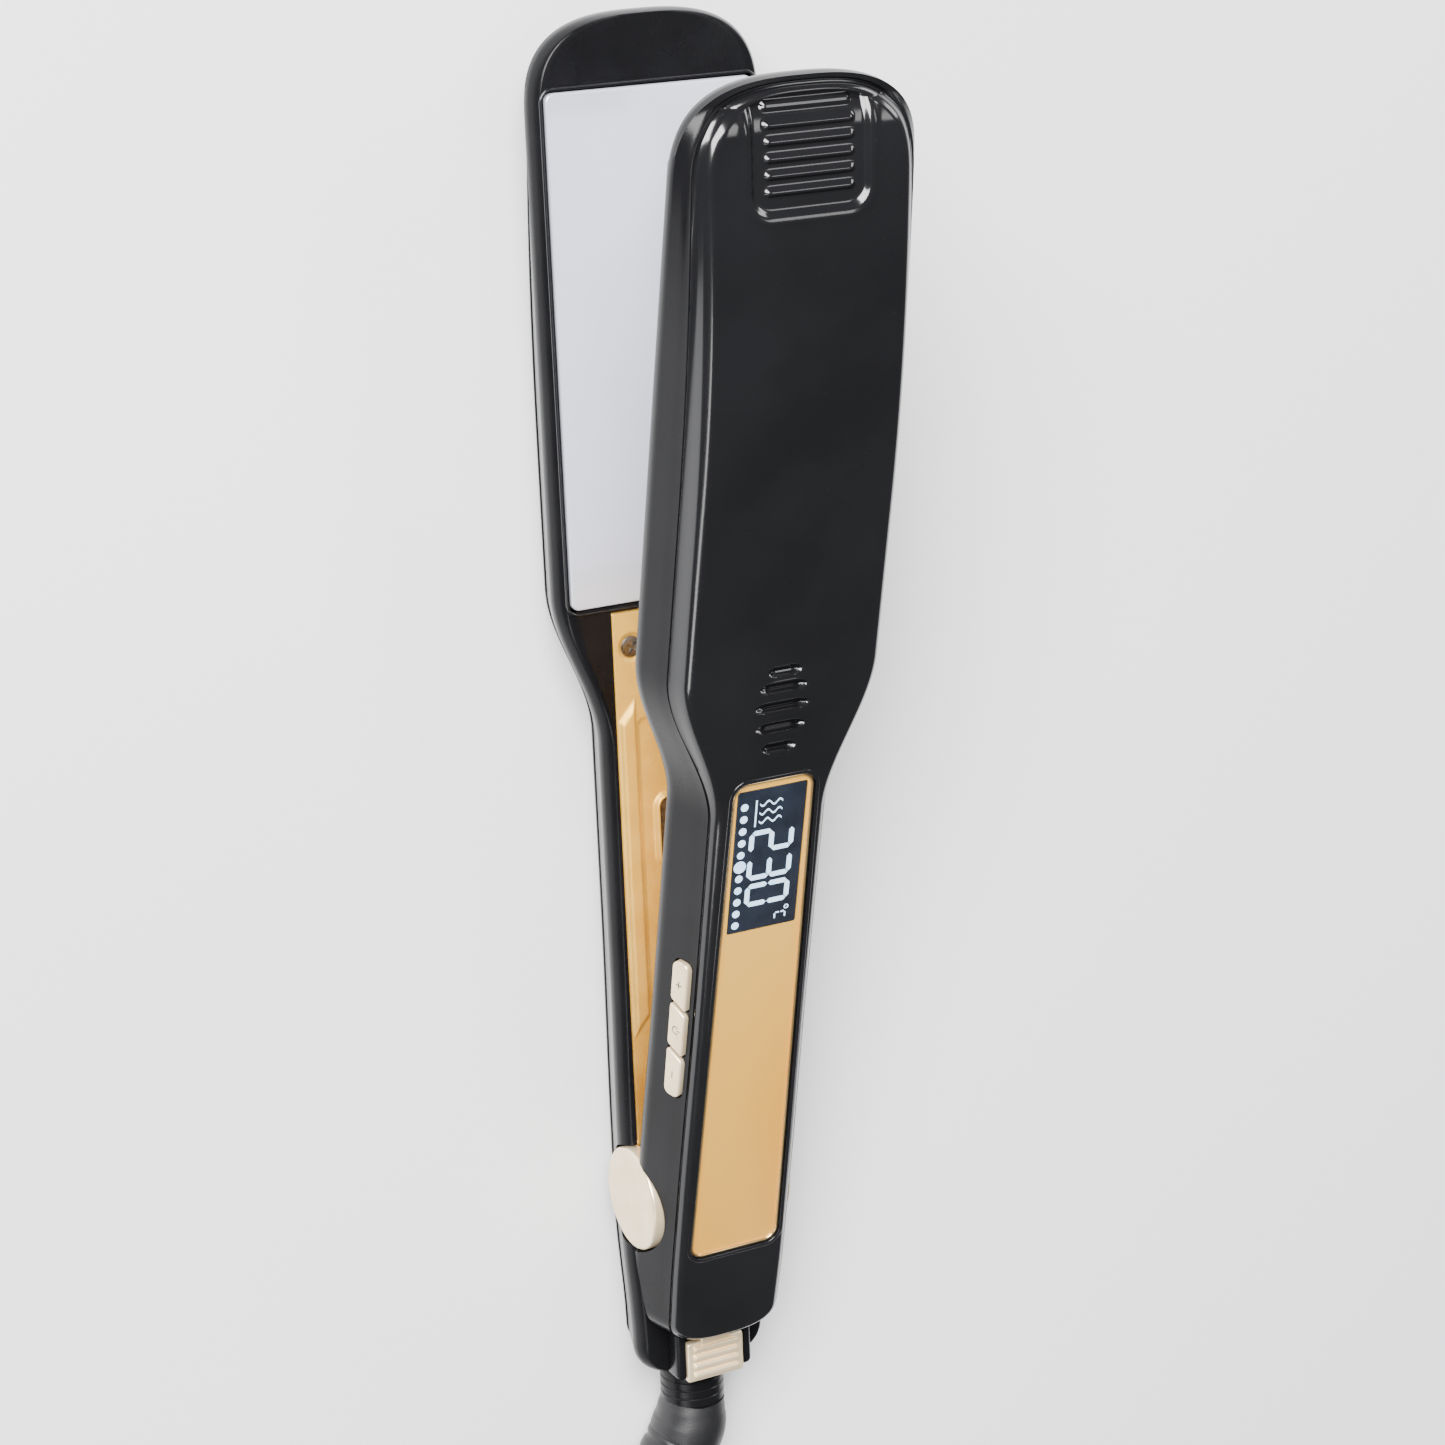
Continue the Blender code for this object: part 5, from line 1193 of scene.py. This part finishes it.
def makePlug():
    # a moulded body with round edges, a grooved tail over the cord and two round pins
    x, y, z = plug["at"]
    right = [(8, 0), (plug["half"], 15), (plug["half"], 30), (14.6, plug["length"])]
    outline = roundedOutline(np.array(right + [(-a, b) for a, b in right[::-1]]) + (x, y), 4.0, 8)
    half = plug["height"] / 2
    k = np.linspace(0, math.pi / 2, 8)
    edge = plug["edge"]
    rows = [(edge * (1 - math.sin(a)), z - half + edge * (1 - math.cos(a))) for a in k]
    rows += [(edge * (1 - math.sin(a)), z + half - edge * (1 - math.cos(a))) for a in k[::-1]]
    body = addPiece("mains_plug", stacked(outline, rows), toTable, "cordRubber", "lower_arm",
                    ("plug_body",), 50)
    profile = []
    for a in np.linspace(0, 1, 41):
        groove = 0.4 * smooth((math.sin(a * 2 * math.pi * 5) - 0.1) * 1.6) * smooth((0.9 - a) / 0.1)
        profile.append((-21.0 + 24.0 * a, 3.9 + 1.7 * a - groove))
    booleanOn(body, [turned(profile, plug["at"], (0, 1, 0), 40)], "UNION", place=toTable, angle=50)
    pieces = [body]
    for s, word in ((-1, "left"), (1, "right")):
        start = (x + s * plug["spacing"] / 2, y + plug["length"] + 0.3, z)
        profile = [(0, plug["pin"]), (17.2, plug["pin"]), (18.2, 1.75), (18.8, 1.2), (19.0, 0.4)]
        pieces.append(addPiece(f"{word}_plug_pin", turned(profile, start, (0, 1, 0), 40), toTable, "pinMetal",
                               "lower_arm", (f"plug_pin_{word}",)))
    return pieces


makeCaps()
makeSlider()
boot = makeNeck()
strap = makeTie()
plugPieces = makePlug()
print("hinge, lock, neck and plug made")


# every CAD piece that stays gets its own finish
kept = {
    "darkSteel": ["guide_socket", "lower_hinge_bracket", "upper_hinge_bracket", "lock_catch",
                  "switch_plus", "switch_power", "switch_minus"],
    "springSteel": ["hinge_pin", "hinge_spring", "lower_heater_clamp", "upper_heater_clamp"],
    "innerBlack": ["lower_plate_holder", "upper_plate_holder", "display_module"],
    "satinBlack": ["guide_tongue"],
    "ceramic": ["lower_heater", "upper_heater", "thermal_fuse"],
    "silicone": ["lower_cushion_rear", "lower_cushion_front", "upper_cushion_rear", "upper_cushion_front",
                 "lower_leads", "upper_leads"],
    "board": ["control_board", "mains_board", "button_board"],
}
for finish, names in kept.items():
    for name in names:
        mesh = nodes[name].data
        mesh.materials.clear()
        mesh.materials.append(made[finish])
